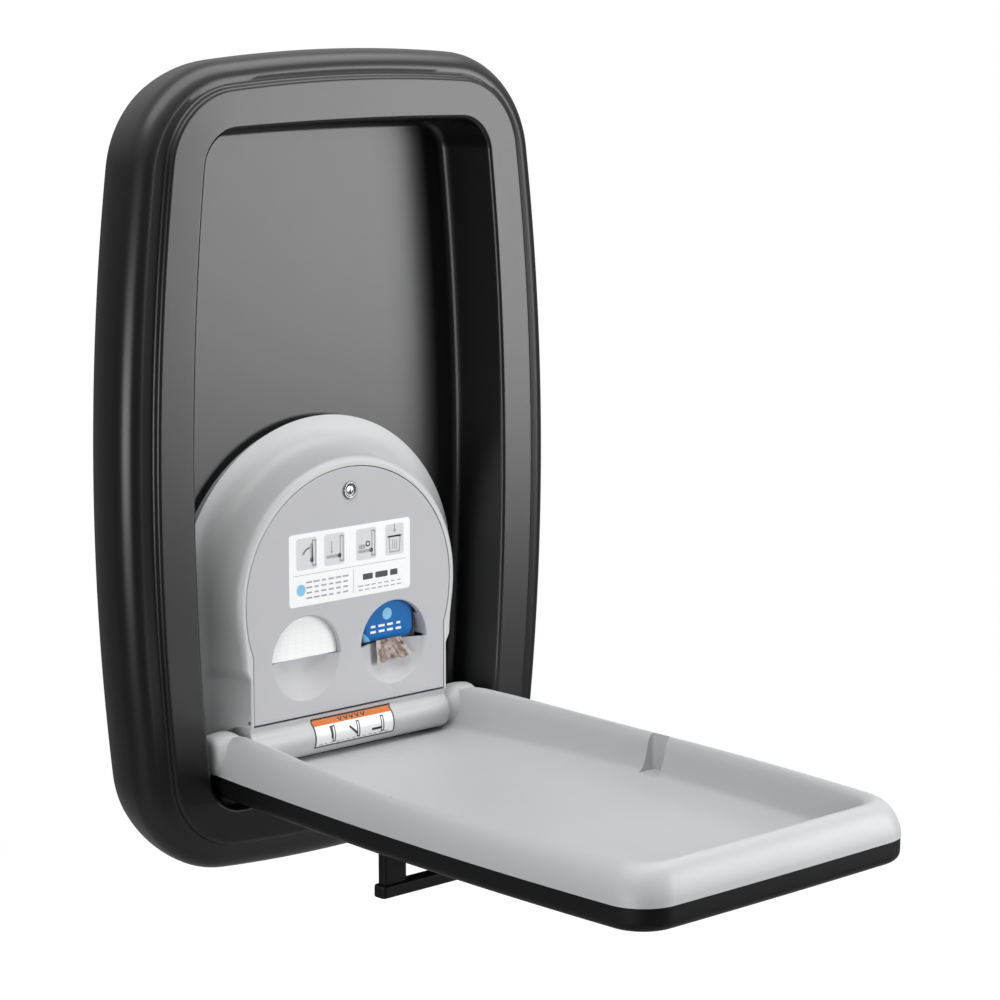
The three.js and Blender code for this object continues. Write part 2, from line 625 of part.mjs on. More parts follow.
function trayBody() {
  const recessX = (s) => [s * 140, s * (BRINK_SIDE.w + 12)].sort((a, b) => a - b);
  const backing = [-1, 1].map((s) => trayBlank.intersect(box(
    ...recessX(s), RECESS.y - RECESS.width / 2 - 4, RECESS.y + RECESS.width / 2 + 4, SEAM_Z - 8, AXIS.z + 20)));
  const recess = [-1, 1].map((s) => {
    const x = [s * 130, s * (BRINK_SIDE.w - 4.5 + RECESS.depth - 4)].sort((a, b) => a - b);
    return prism(rectangle(...x, RECESS.y - RECESS.width / 2, RECESS.y + RECESS.width / 2, 4),
      SEAM_Z - 3.4, AXIS.z + 30, UPWARD, 4);
  });
  const barrelRoom = onAxis(BARREL_R + 2.4, -EAR_X, EAR_X, 14);
  const behind = box(-EAR_X, EAR_X, AXIS.y, 100, SEAM_Z - 20, 0);
  const rear = box(-220, 220, AXIS.y + BED_HEEL - 3, 100, SEAM_Z - 20, 0);
  const heelRoom = box(-220, 220, AXIS.y + 4, 100, SEAM_Z - 20, SEAM_Z);
  const armRoom = [1, -1].map((s) => {
    const room = join(
      onAxis(ARM.eyeR + 1, ARM.x0 - 0.6, ARM.x1 + 0.6),
      box(ARM.x0 - 0.6, ARM.x1 + 0.6, AXIS.y - 14, AXIS.y + 14, SEAM_Z - 1, AXIS.z));
    return s > 0 ? room : mirrorX(room);
  });
  const skin = cut(join(traySkin, ...backing), ...recess, barrelRoom, behind, rear, heelRoom);
  return cut(
    join(skin, earBlank(1), earBlank(-1)),
    ...armRoom,
    onAxis(ROD_R + RUN, -ARM.x1, ARM.x1));
}

function shellBody() {
  const pan = loft([
    bedRing(SHELL, 60, -SHELL_DROP + 4),
    bedRing(SHELL, 13, -SHELL_DROP + 4),
    bedRing(SHELL, 8, -SHELL_DROP + 6),
    bedRing(SHELL, 5.4, -SHELL_DROP + 11),
    bedRing(SHELL, 4.6, -SEAT),
    bedRing(SHELL, 0.8, -SEAT),
    bedRing(SHELL, 1, -SHELL_DROP + 11),
    bedRing(SHELL, 3, -SHELL_DROP + 4.6),
    bedRing(SHELL, 7, -SHELL_DROP + 1),
    bedRing(SHELL, 13, -SHELL_DROP),
    bedRing(SHELL, 60, -SHELL_DROP),
  ], onLevel);
  return cut(pan, box(-EAR_X, EAR_X, AXIS.y - 10, 0, AXIS.z - BARREL_R - 3, AXIS.z));
}

const FRAME = { top: SEAM_Z - 8.8 - SEAT, t: 5, out: 171, inn: 139, back: -90, front: -654 };

function bedFrame() {
  const plate = rectangle(-FRAME.out, FRAME.out, FRAME.front, FRAME.back, 12);
  plate.holes.push(rectangle(-FRAME.inn, FRAME.inn, HANDLE.y - 12, FRAME.back - 34, 10));
  plate.holes.push(rectangle(-FRAME.inn, FRAME.inn, FRAME.front + 32, HANDLE.y - 44, 10));
  const foot = FRAME.top - FRAME.t;
  const leg = polygon([
    [AXIS.y - 11, AXIS.z], [AXIS.y - 11, FRAME.top], [FRAME.back - 20, FRAME.top], [FRAME.back - 20, foot],
    [AXIS.y + 6, foot], [AXIS.y + 11, foot + 5], [AXIS.y + 11, AXIS.z]]);
  const arm = join(prism(leg, ARM.x0, ARM.x1, ALONG_X), onAxis(ARM.eyeR, ARM.x0, ARM.x1));
  const whole = join(prism(plate, foot, FRAME.top, UPWARD, 2), arm, mirrorX(arm));
  return cut(whole, onAxis(ROD_R + SEAT, -ARM.x1 - 1, ARM.x1 + 1));
}

const hingeRod = turned([
  [0, -ARM.x1], [ROD_R - 1, -ARM.x1], [ROD_R, -ARM.x1 + 1],
  [ROD_R, ARM.x1 - 1], [ROD_R - 1, ARM.x1], [0, ARM.x1],
], ALONG_X, 0, AXIS.y, AXIS.z, 24);

// Handle under the bed

const SHELL_BOTTOM = SEAM_Z - SHELL_DROP;
const HANDLE_TOP = HANDLE.bottomZ + HANDLE.height;
const POST = { length: 30, depth: 11, x: HANDLE.length / 2 - 4 - 15 };

const roundedRing = (w, d, x, y) => rectangle(x - w / 2, x + w / 2, y - d / 2, y + d / 2, d * 0.4)
  .getPoints(2).slice(0, -1).map((p) => [p.x, p.y]);

function handleBar() {
  const levels = [[-3, 0], [-0.8, 0.8], [0, 3], [0, HANDLE.height - 3], [-0.8, HANDLE.height - 0.8],
    [-3, HANDLE.height]];
  return loft(levels.map(([grow, up]) => ({
    ring: roundedRing(HANDLE.length + 2 * grow, HANDLE.depth + 2 * grow, 0, HANDLE.y),
    at: HANDLE.bottomZ + up })), onLevel);
}

function handlePost(side) {
  const levels = [
    [0, HANDLE_TOP + SEAT], [0, SHELL_BOTTOM - 9], [1.2, SHELL_BOTTOM - 4], [4, SHELL_BOTTOM - SEAT]];
  return loft(levels.map(([grow, at]) => ({
    ring: roundedRing(POST.length + grow, POST.depth + grow, side * POST.x, HANDLE.y), at })), onLevel);
}

// Stop pads on the cavity back take the heel of the opened bed.
const stopPad = (side) => {
  const x = [side * 146, side * 170].sort((a, b) => a - b);
  return prism(rectangle(...x, -332, -322, 2), BODY_BACK, -(AXIS.y + BED_HEEL) - 0.9, FORWARD, 3);
};

// Door: shallow shell with two finger openings; each lower half is half of a turned bowl.

function scoop(x) {
  const rings = 4;
  const inner = [];
  const outer = [];
  for (let k = 0; k <= rings; k += 1) {
    const q = k / rings;
    const depth = HOLE.scoop * (1 - q * q);
    inner.push([HOLE.r * q, DOOR.face - depth]);
    outer.unshift([(HOLE.r + 2) * q, DOOR.face - depth - SCOOP_T]);
  }
  const profile = [...inner, [HOLE.r + 2, DOOR.face], ...outer];
  const bowl = turned(profile, FORWARD, x, 0, HOLE.z, 28);
  return bowl.intersect(box(x - 60, x + 60, -DOOR.face - 5, 0, HOLE.z - 60, HOLE.z));
}

function doorPanel() {
  const back = DOOR.face - DOOR_RIM;
  const blank = prism(doorShape(0, DOOR.bottomZ), back, DOOR.face, FORWARD, 16);
  const hollow = prism(doorShape(-3.2, DOOR.bottomZ + 3.2), back - 1, DOOR.face - DOOR_T, FORWARD, 16);
  const corners = [-1, 1].map((s) => {
    const x = [s * (DOOR.lowW - 12), s * DOOR.lowW].sort((a, b) => a - b);
    return prism(rectangle(...x, DOOR.bottomZ, DOOR.bottomZ + 10), back, DOOR.face, FORWARD);
  });
  const sides = [-1, 1].map((s) => s * HOLE.x);
  const lockBoss = prism(disc(0, LOCK_Z, 13), back + 2, DOOR.face - 1, FORWARD, 8);
  const collars = sides.map((x) => (
    prism(disc(x, HOLE.z, HOLE.r + 3), DOOR.face - HOLE.collar, DOOR.face - 1, FORWARD, 14)));
  const holes = sides.map((x) => prism(disc(x, HOLE.z, HOLE.r), back - 1, DOOR.face + 1, FORWARD, 14));
  const sheet = cut(join(cut(blank, hollow), ...corners, lockBoss, ...collars), ...holes);
  return cut(
    join(sheet, ...sides.map(scoop)),
    prism(disc(0, LOCK_Z, LOCK.bodyR + SEAT), back - 1, DOOR.face + 1, FORWARD, 8),
    onDoorAxis(DOOR_PIN_R + SEAT, -DOOR.lowW - 1, -DOOR.lowW + 10),
    onDoorAxis(DOOR_PIN_R + SEAT, DOOR.lowW - 10, DOOR.lowW + 1));
}

const doorPin = (side) => {
  const x = [side * (DOOR.lowW - 9.6), side * (BODY_W - SEAT)].sort((a, b) => a - b);
  return onDoorAxis(DOOR_PIN_R, ...x);
};

// Lock: body, plug and cam

const LOCK = { faceR: 9.5, bodyR: 7.5, plugR: 4.6, camT: 2.5, camLength: 30.5 };
const CAM_FRONT = DOOR.face - DOOR_RIM - 0.6;
const lockAt = (profile, segments) => turned(profile, FORWARD, 0, 0, LOCK_Z, segments);

const lockBody = lockAt([
  [LOCK.plugR + SEAT, CAM_FRONT + SEAT], [LOCK.bodyR, CAM_FRONT + SEAT], [LOCK.bodyR, DOOR.face + SEAT],
  [LOCK.faceR, DOOR.face + SEAT], [LOCK.faceR, DOOR.face + 0.9], [LOCK.faceR - 0.9, DOOR.face + 1.7],
  [LOCK.faceR - 2.2, DOOR.face + 1.7], [LOCK.plugR + 1.2, DOOR.face + 0.4],
  [LOCK.plugR + SEAT, DOOR.face + 0.4], [LOCK.plugR + SEAT, CAM_FRONT + SEAT]], 20);

function lockPlug() {
  const plug = lockAt([
    [0, CAM_FRONT - LOCK.camT - 1.5], [LOCK.plugR - 1.6, CAM_FRONT - LOCK.camT - 1.5],
    [LOCK.plugR - 1.6, CAM_FRONT + SEAT], [LOCK.plugR, CAM_FRONT + SEAT],
    [LOCK.plugR, DOOR.face - 0.1], [LOCK.plugR - 0.5, DOOR.face + 0.4], [0, DOOR.face + 0.4]], 18);
  const keyway = prism(
    rectangle(-0.6, 0.6, LOCK_Z - 2.6, LOCK_Z + 2.6), DOOR.face - 4, DOOR.face + 2, FORWARD);
  return cut(plug, keyway);
}

function lockCam() {
  const shape = new THREE.Shape();
  shape.absarc(0, LOCK_Z, 7, Math.PI / 2, Math.PI * 1.5);
  shape.lineTo(LOCK.camLength - 2, LOCK_Z - 5);
  shape.lineTo(LOCK.camLength, LOCK_Z - 3);
  shape.lineTo(LOCK.camLength, LOCK_Z + 3);
  shape.lineTo(LOCK.camLength - 2, LOCK_Z + 5);
  shape.closePath();
  shape.holes.push(new THREE.Path().absarc(0, LOCK_Z, LOCK.plugR - 1.6 + SEAT, 0, Math.PI * 2));
  return prism(shape, CAM_FRONT - LOCK.camT, CAM_FRONT, FORWARD, 6);
}

// Pockets behind the door and the papers in them

const POCKET = { half: 46, back: 30, t: 2.2, topZ: -128, floorZ: HOLE.z + SEAT };

function pocket(x) {
  const { half, back, t, topZ, floorZ } = POCKET;
  const front = DOOR.face - DOOR_T - SEAT;
  const outer = box(x - half, x + half, -front, -back, floorZ - t, topZ);
  const inner = box(x - half + t, x + half - t, -front - 1, -back - t, floorZ, topZ + 1);
  const bowlRoom = prism(
    disc(x, HOLE.z, HOLE.r + 4), DOOR.face - HOLE.scoop - SCOOP_T - 2, DOOR.face, FORWARD, 16);
  return cut(outer, inner, bowlRoom);
}

// Distances from the rim of an opening in to the paper that shows in it
const RIM_TO = { tongue: 6.2, tailLeft: 17.2, tailRight: 31.2, tailEnd: 23.7 };

const PACK_FRONT = DOOR.face - HOLE.collar - SEAT;
const PACK_BACK = POCKET.back + POCKET.t + SEAT;

const linerStack = prism(
  rectangle(-HOLE.x - 43, -HOLE.x + 43, POCKET.floorZ + SEAT, -136, 5),
  PACK_BACK, PACK_FRONT - 0.4, FORWARD, 4);

function linerTongue() {
  const s = new THREE.Shape();
  const r = HOLE.r - RIM_TO.tongue;
  s.moveTo(-HOLE.x - r, HOLE.z + 1.2);
  s.lineTo(-HOLE.x + r, HOLE.z + 1.2);
  s.absarc(-HOLE.x, HOLE.z + 1.2, r, 0, Math.PI);
  return prism(s, PACK_FRONT, PACK_FRONT + 1.8, FORWARD, 14);
}

function bagPack() {
  const thick = PACK_FRONT - PACK_BACK - 0.4;
  const depths = [[-7, 0], [-2, 3], [0, 9], [0, thick - 9], [-2, thick - 3], [-7, thick]];
  return loft(depths.map(([grow, deep]) => ({
    ring: rectangle(HOLE.x - 41 - grow, HOLE.x + 36 + grow, POCKET.floorZ + SEAT - grow, -134 + grow, 9)
      .getPoints(2).slice(0, -1).map((p) => [p.x, p.y]),
    at: PACK_BACK + deep })), onDepth);
}

function bagTail() {
  const s = new THREE.Shape();
  const end = HOLE.r - RIM_TO.tailEnd;
  s.moveTo(-PACK_FRONT - 1, HOLE.z + 7);
  s.quadraticCurveTo(-PACK_FRONT - 3.5, HOLE.z - 6, -PACK_FRONT - 6.1, HOLE.z - end + 0.5);
  s.lineTo(-PACK_FRONT - 3.1, HOLE.z - end);
  s.quadraticCurveTo(-PACK_FRONT - 0.1, HOLE.z - 8, -PACK_FRONT, HOLE.z + 7);
  s.closePath();
  return prism(s, HOLE.x - HOLE.r + RIM_TO.tailLeft, HOLE.x + HOLE.r - RIM_TO.tailRight, ALONG_X, 8);
}

// Nodes

const black = { color: 0x1b1b1d, roughness: 0.55, metalness: 0 };
const grey = { color: 0xc4c6ca, roughness: 0.5, metalness: 0 };
const steel = { color: 0x9a9ca0, roughness: 0.4, metalness: 1 };
const chrome = { color: 0xd8dadd, roughness: 0.15, metalness: 1 };
const nylon = { color: 0xe4e2da, roughness: 0.6, metalness: 0 };
const rubber = { color: 0x202022, roughness: 0.9, metalness: 0 };
const darkGrey = { color: 0x55575c, roughness: 0.6, metalness: 0 };

const nodes = [
  ['housing', housing, black],
  ['wall_plate', wallPlate, steel],
  ['hinge_bracket_right', hingeBracket(), steel],
  ['hinge_bracket_left', mirrorX(hingeBracket()), steel],
  ['hinge_bush_right', hingeBush(), nylon],
  ['hinge_bush_left', mirrorX(hingeBush()), nylon],
  ['dispenser_body', dispenserBody, grey],
  ['lock_strike', strike, steel],
  ['gas_anchor', gasAnchor(), steel],
  ['gas_cylinder', gasCylinder(), black],
  ['gas_rod', gasRod(), steel],
  ['stop_pad_right', stopPad(1), rubber],
  ['stop_pad_left', stopPad(-1), rubber],
  ['bed_tray', trayBody(), grey],
  ['bed_shell', shellBody(), black],
  ['bed_frame', bedFrame(), steel],
  ['hinge_rod', hingeRod, steel],
  ['crank_arm', crankArm(), steel],
  ['handle_bar', handleBar(), black],
  ['handle_post_right', handlePost(1), black],
  ['handle_post_left', handlePost(-1), black],
  ['door_panel', doorPanel(), grey],
  ['door_pin_right', doorPin(1), steel],
  ['door_pin_left', doorPin(-1), steel],
  ['lock_body', lockBody, chrome],
  ['lock_plug', lockPlug(), chrome],
  ['lock_cam', lockCam(), steel],
  ['liner_pocket', pocket(-HOLE.x), darkGrey],
  ['bag_pocket', pocket(HOLE.x), darkGrey],
  ['liner_stack', linerStack, { color: 0xf2f2f0, roughness: 0.9, metalness: 0 }],
  ['liner_tongue', linerTongue(), { color: 0xf4f4f2, roughness: 0.9, metalness: 0 }],
  ['bag_pack', bagPack(), { color: 0x1878c0, roughness: 0.35, metalness: 0 }],
  ['bag_tail', bagTail(), { color: 0x6b5a4c, roughness: 0.6, metalness: 0 }],
];

const group = new THREE.Group();
group.name = 'baby_changing_station';
for (const [name, body, look] of nodes) {
  const mesh = new THREE.Mesh(geometryOf(body), new THREE.MeshStandardMaterial(look));
  mesh.name = name;
  group.add(mesh);
}

export default group;
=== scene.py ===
"""Looks of an upright baby changing station: fine shells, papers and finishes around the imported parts."""

import math

import bmesh
import bpy
import numpy as np
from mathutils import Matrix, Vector


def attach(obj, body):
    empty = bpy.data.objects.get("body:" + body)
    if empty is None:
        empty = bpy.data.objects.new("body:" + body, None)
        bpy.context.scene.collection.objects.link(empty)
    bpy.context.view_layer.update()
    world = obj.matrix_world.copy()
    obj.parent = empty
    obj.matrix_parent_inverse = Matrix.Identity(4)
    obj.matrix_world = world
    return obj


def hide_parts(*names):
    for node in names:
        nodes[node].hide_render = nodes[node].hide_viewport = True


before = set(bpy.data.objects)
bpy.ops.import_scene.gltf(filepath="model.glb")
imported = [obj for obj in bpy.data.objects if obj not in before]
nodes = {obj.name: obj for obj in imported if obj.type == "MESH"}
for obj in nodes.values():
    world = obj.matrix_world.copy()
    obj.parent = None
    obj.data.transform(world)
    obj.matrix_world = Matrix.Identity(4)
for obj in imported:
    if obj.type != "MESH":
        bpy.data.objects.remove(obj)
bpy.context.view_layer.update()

# Sizes in millimetres, the same as the parts have. Depth is counted from the wall toward the user.
MM = 0.001
GAP = 0.3
RUN = 0.8

HOUSING = dict(w=292, h=429.7, middle=-2.7, r=122, side_r=2500, end_r=1800, widest=-28)
BEZEL = dict(w=258.6, h=400, middle=-1, r=86, side_r=2600, end_r=2000, widest=-29)
OPENING = dict(w=211.2, h=354.6, middle=-2.4, r=40, side_r=3000, end_r=4500, widest=-27.6)
WALL = 5
TUCK = 10.6
SHOULDER_R = 22
SHOULDER_DEPTH = 47
RIM_DEPTH, RIM_FALL = 72, 1.6
BEZEL_DEPTH, BEZEL_FALL = 81, 1.2
CAVITY_DRAFT = 4
PANEL_BACK = 3.5
PANEL_FRONT = PANEL_BACK + WALL

AXIS_Y, AXIS_Z = -55.3, -301
BARREL_R = 21
ROD_R = 6
EAR_X, EAR_END, EAR_R, EAR_EDGE = 139.2, 186, 23.5, 7

FACE = 70.2
ARCH_Z = -147.3
DOOR_W, DOOR_RISE = 141.3, 134.6
DOOR_LOW_W, DOOR_KINK_Z, DOOR_BOTTOM_Z = 132.5, -200, -274.5
DOOR_T, DOOR_RIM, DOOR_BOTTOM_GAP = 3, 9, 1.8
DOOR_AXIS_Y, DOOR_AXIS_Z = -66.7, -271
BODY_T, BODY_W = 3, 136.5
DOME = dict(w=150.8, rise=146)
FLANGE = dict(r=193, centre_z=-161, half_x=192, low_x=186.6, taper=0.077, bottom_z=-312)
FLANGE_DEPTH = 18.4
LEAN_TOP, KINK_TOP, KINK_END, CHEEK_Z = -150, -212, -229, -276
BODY_BACK = PANEL_FRONT + GAP
HOLE_X, HOLE_Z, HOLE_R = 61, -212.7, 46.2
COLLAR, SCOOP, SCOOP_T, GUIDE = 6.4, 15, 2.6, 13
LOCK_Z = -38

SEAM_Z = -319.1
BED_FRONT, BED_TAIL, BED_HEEL = -705, 60, 22
SHELL_DROP = 24.6
CREST = 36.2
SWEEP, SWEEP_START, SWEEP_END, SWEEP_IN = 7, -330, -100, 8
DIP, DIP_START, DIP_END = 15, -83, -34
RECESS_Y, RECESS_W, RECESS_X = -359, 26, 184.5
HANDLE_Y, HANDLE_L, HANDLE_D, HANDLE_H, HANDLE_Z = -320, 352, 17, 13, -395
POST_L, POST_D = 30, 11
PACK_FRONT = FACE - COLLAR - GAP
PACK_BACK = 32.5


# Mesh helpers

def on_depth(x, z, depth):
    return np.stack([x, np.full_like(x, -depth), z], -1)


def on_level(x, y, z):
    return np.stack([x, y, np.full_like(x, z)], -1)


def new_piece(name, points, faces):
    mesh = bpy.data.meshes.new(name)
    mesh.from_pydata((np.asarray(points, float) * MM).tolist(), [], faces)
    work = bmesh.new()
    work.from_mesh(mesh)
    bmesh.ops.recalc_face_normals(work, faces=work.faces)
    work.to_mesh(mesh)
    work.free()
    piece = bpy.data.objects.new(name, mesh)
    bpy.context.scene.collection.objects.link(piece)
    return piece


def skin(name, rings):
    """Closed solid through a stack of rings of 3-D points; both ends are capped."""
    rings = np.asarray(rings, float)
    count, n = rings.shape[:2]
    faces = []
    for i in range(count - 1):
        a = i * n
        faces += [(a + j, a + (j + 1) % n, a + n + (j + 1) % n, a + n + j) for j in range(n)]
    faces.append(tuple(reversed(range(n))))
    faces.append(tuple(range((count - 1) * n, count * n)))
    return new_piece(name, rings.reshape(-1, 3), faces)


def eased(rings, steps):
    """Rings between the given ones on a smooth curve through them."""
    rings = np.asarray(rings, float)
    chord = np.linalg.norm(np.diff(rings, axis=0), axis=2).mean(1)
    t = np.concatenate([[0], np.cumsum(np.sqrt(chord))])
    first = rings[0] * 2 - rings[1]
    last = rings[-1] * 2 - rings[-2]
    p = np.concatenate([[first], rings, [last]])
    t = np.concatenate([[t[0] - (t[1] - t[0])], t, [t[-1] + (t[-1] - t[-2])]])
    made = [rings[0]]
    for k in range(1, len(p) - 2):
        for s in range(1, steps + 1):
            u = t[k] + (t[k + 1] - t[k]) * s / steps
            mix = lambda a, b, i, j: (a * (t[j] - u) + b * (u - t[i])) / (t[j] - t[i])
            a1 = mix(p[k - 1], p[k], k - 1, k)
            a2 = mix(p[k], p[k + 1], k, k + 1)
            a3 = mix(p[k + 1], p[k + 2], k + 1, k + 2)
            b1 = mix(a1, a2, k - 1, k + 1)
            b2 = mix(a2, a3, k, k + 2)
            made.append(mix(b1, b2, k, k + 1))
    return made


def quarter(start, end, steps, first):
    """Quarter ellipse between two (inset, depth) stations, leaving the start along inset or depth."""
    t = np.linspace(0, math.pi / 2, steps + 1)
    slow, fast = 1 - np.cos(t), np.sin(t)
    by_inset, by_depth = (fast, slow) if first == "inset" else (slow, fast)
    return [(start[0] + (end[0] - start[0]) * i, start[1] + (end[1] - start[1]) * d)
            for i, d in zip(by_inset, by_depth)]


def prism(name, outline, start, end, along):
    """Flat outline pushed along x (outline in y, z), along depth (x, z) or up (x, y)."""
    u, v = np.asarray(outline, float).T
    place = {
        "x": lambda s: np.stack([np.full_like(u, s), u, v], -1),
        "depth": lambda s: on_depth(u, v, s),
        "up": lambda s: on_level(u, v, s),
    }[along]
    return skin(name, [place(start), place(end)])


def box(name, x0, x1, y0, y1, z0, z1):
    return prism(name, [(x0, y0), (x1, y0), (x1, y1), (x0, y1)], z0, z1, "up")


def circle(u, v, r, steps=64, start=0.0, turn=2 * math.pi):
    open_end = turn < 2 * math.pi - 1e-9
    t = start + turn * np.arange(steps + open_end) / steps
    return np.stack([u + r * np.cos(t), v + r * np.sin(t)], -1)


def rounded(u0, u1, v0, v1, r, steps=6):
    corners = [(u1 - r, v1 - r, 0), (u0 + r, v1 - r, 1), (u0 + r, v0 + r, 2), (u1 - r, v0 + r, 3)]
    return np.concatenate([circle(u, v, r, steps, q * math.pi / 2, math.pi / 2) for u, v, q in corners])


def turned(name, profile, centre, along, segments=72, start=0.0, turn=2 * math.pi):
    """Body of revolution: (radius, station) pairs around a line along x or depth through the centre."""
    profile = np.asarray(profile, float)
    whole = turn > 2 * math.pi - 1e-9
    angles = start + turn * np.arange(segments + (not whole)) / segments
    r, s = profile.T
    rings = []
    for a in angles:
        u, v = r * math.cos(a), r * math.sin(a)
        if along == "x":
            rings.append(np.stack([centre[0] + s, centre[1] + u, centre[2] + v], -1))
        else:
            rings.append(np.stack([centre[0] + u, centre[1] - s, centre[2] + v], -1))
    n = len(profile)
    faces = []
    for i in range(len(angles) if whole else len(angles) - 1):
        a, b = i * n, ((i + 1) % len(angles)) * n
        faces += [(a + j, b + j, b + (j + 1) % n, a + (j + 1) % n) for j in range(n)]
    if not whole:
        faces += [tuple(range(n)), tuple(reversed(range((len(angles) - 1) * n, len(angles) * n)))]
    piece = new_piece(name, np.concatenate(rings), faces)
    tidy = bmesh.new()
    tidy.from_mesh(piece.data)
    bmesh.ops.remove_doubles(tidy, verts=tidy.verts, dist=1e-7)
    bmesh.ops.dissolve_degenerate(tidy, dist=1e-7, edges=tidy.edges)
    bmesh.ops.recalc_face_normals(tidy, faces=tidy.faces)
    tidy.to_mesh(piece.data)
    tidy.free()
    return piece


def settle(piece):
    """Turns the evaluated shape into the piece's own plain mesh."""
    shape = piece.evaluated_get(bpy.context.evaluated_depsgraph_get())
    mesh = bpy.data.meshes.new_from_object(shape)
    piece.modifiers.clear()
    old = piece.data
    piece.data = mesh
    bpy.data.meshes.remove(old)
    mesh.name = piece.name
    return piece


def combine(piece, operation, *others):
    for other in others:
        step = piece.modifiers.new("combine", "BOOLEAN")
        step.operation = operation
        step.object = other
        step.solver = "MANIFOLD"
    settle(piece)
    for other in others:
        bpy.data.objects.remove(other)
    return piece


def cut(piece, *others):
    return combine(piece, "DIFFERENCE", *others)


def join(piece, *others):
    return combine(piece, "UNION", *others)


def copy_of(piece):
    twin = piece.copy()
    twin.data = piece.data.copy()
    bpy.context.scene.collection.objects.link(twin)
    return twin


def polish(piece, angle=32):
    """Smooth shading with kept creases; large flat faces stay flat."""
    piece.data.shade_smooth()
    piece.data.set_sharp_from_angle(angle=math.radians(angle))
    even = piece.modifiers.new("even shading", "WEIGHTED_NORMAL")
    even.keep_sharp = True
    even.weight = 90
    return settle(piece)


def dress(piece, material, body, replaces=()):
    piece.data.materials.clear()
    piece.data.materials.append(material)
    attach(piece, body)
    if replaces:
        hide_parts(*replaces)
    return piece


# Finishes

def start_material(name):
    material = bpy.data.materials.new(name)
    material.use_nodes = True
    tree = material.node_tree
    shader = tree.nodes["Principled BSDF"]
    return material, tree, shader


def add(tree, kind, **values):
    node = tree.nodes.new(kind)
    for key, value in values.items():
        if key in node.inputs:
            node.inputs[key].default_value = value
        else:
            setattr(node, key, value)
    return node


def link(tree, source, target):
    tree.links.new(source, target)


def object_noise(tree, scale, detail=4.0, rough=0.55, stretch=(1, 1, 1)):
    where = add(tree, "ShaderNodeTexCoord")
    mapping = add(tree, "ShaderNodeMapping")
    mapping.inputs["Scale"].default_value = stretch
    link(tree, where.outputs["Object"], mapping.inputs["Vector"])
    noise = add(tree, "ShaderNodeTexNoise", Scale=scale, Detail=detail, Roughness=rough)
    link(tree, mapping.outputs["Vector"], noise.inputs["Vector"])
    return noise.outputs["Fac"]


def spread(tree, value, low, high, to_low, to_high):
    node = add(tree, "ShaderNodeMapRange")
    node.inputs["From Min"].default_value = low
    node.inputs["From Max"].default_value = high
    node.inputs["To Min"].default_value = to_low
    node.inputs["To Max"].default_value = to_high
    link(tree, value, node.inputs["Value"])
    return node.outputs["Result"]


def two_tone(tree, value, dark, light):
    node = add(tree, "ShaderNodeMix", data_type="RGBA")
    node.inputs["A"].default_value = (*dark, 1)
    node.inputs["B"].default_value = (*light, 1)
    sockets = [s for s in node.inputs if s.type == "RGBA"]
    sockets[0].default_value = (*dark, 1)
    sockets[1].default_value = (*light, 1)
    link(tree, value, node.inputs[0])
    return next(s for s in node.outputs if s.type == "RGBA")


def bump(tree, height, strength, distance, below=None):
    node = add(tree, "ShaderNodeBump", Strength=strength, Distance=distance)
    link(tree, height, node.inputs["Height"])
    if below is not None:
        link(tree, below, node.inputs["Normal"])
    return node.outputs["Normal"]


def moulded(name, dark, light, roughness, grain=1400, grain_depth=0.00005, uneven=0.02, specular=0.5):
    """Moulded plastic: faintly cloudy tone, fine grain and a slightly uneven sheen."""
    material, tree, shader = start_material(name)
    cloud = spread(tree, object_noise(tree, 9), 0.35, 0.65, 0, 1)
    link(tree, two_tone(tree, cloud, dark, light), shader.inputs["Base Color"])
    sheen = spread(tree, object_noise(tree, 60, 6), 0.3, 0.7, roughness - uneven, roughness + uneven)
    link(tree, sheen, shader.inputs["Roughness"])
    fine = bump(tree, object_noise(tree, grain, 2), 0.3, grain_depth)
    link(tree, fine, shader.inputs["Normal"])
    shader.inputs["Specular IOR Level"].default_value = specular
    return material


def metal(name, colour, roughness, stretch):
    """Worked metal: fine drawn lines and slightly uneven tone."""
    material, tree, shader = start_material(name)
    lines = object_noise(tree, 160, 5, 0.7, stretch)
    tone = spread(tree, lines, 0.3, 0.7, 0, 1)
    link(tree, two_tone(tree, tone, [c * 0.86 for c in colour], colour), shader.inputs["Base Color"])
    link(tree, spread(tree, lines, 0.3, 0.7, roughness - 0.04, roughness + 0.08), shader.inputs["Roughness"])
    link(tree, bump(tree, lines, 0.2, 0.00002), shader.inputs["Normal"])
    shader.inputs["Metallic"].default_value = 1.0
    return material


def ink(name, colour, roughness=0.45):
    """Printed ink with slightly uneven cover; the keyway's near-black finish is made with it too, as painted shade."""
    material, tree, shader = start_material(name)
    cover = spread(tree, object_noise(tree, 900, 3), 0.3, 0.7, 0, 1)
    link(tree, two_tone(tree, cover, colour, [min(1, c * 1.08 + 0.004) for c in colour]),
         shader.inputs["Base Color"])
    shader.inputs["Roughness"].default_value = roughness
    return material


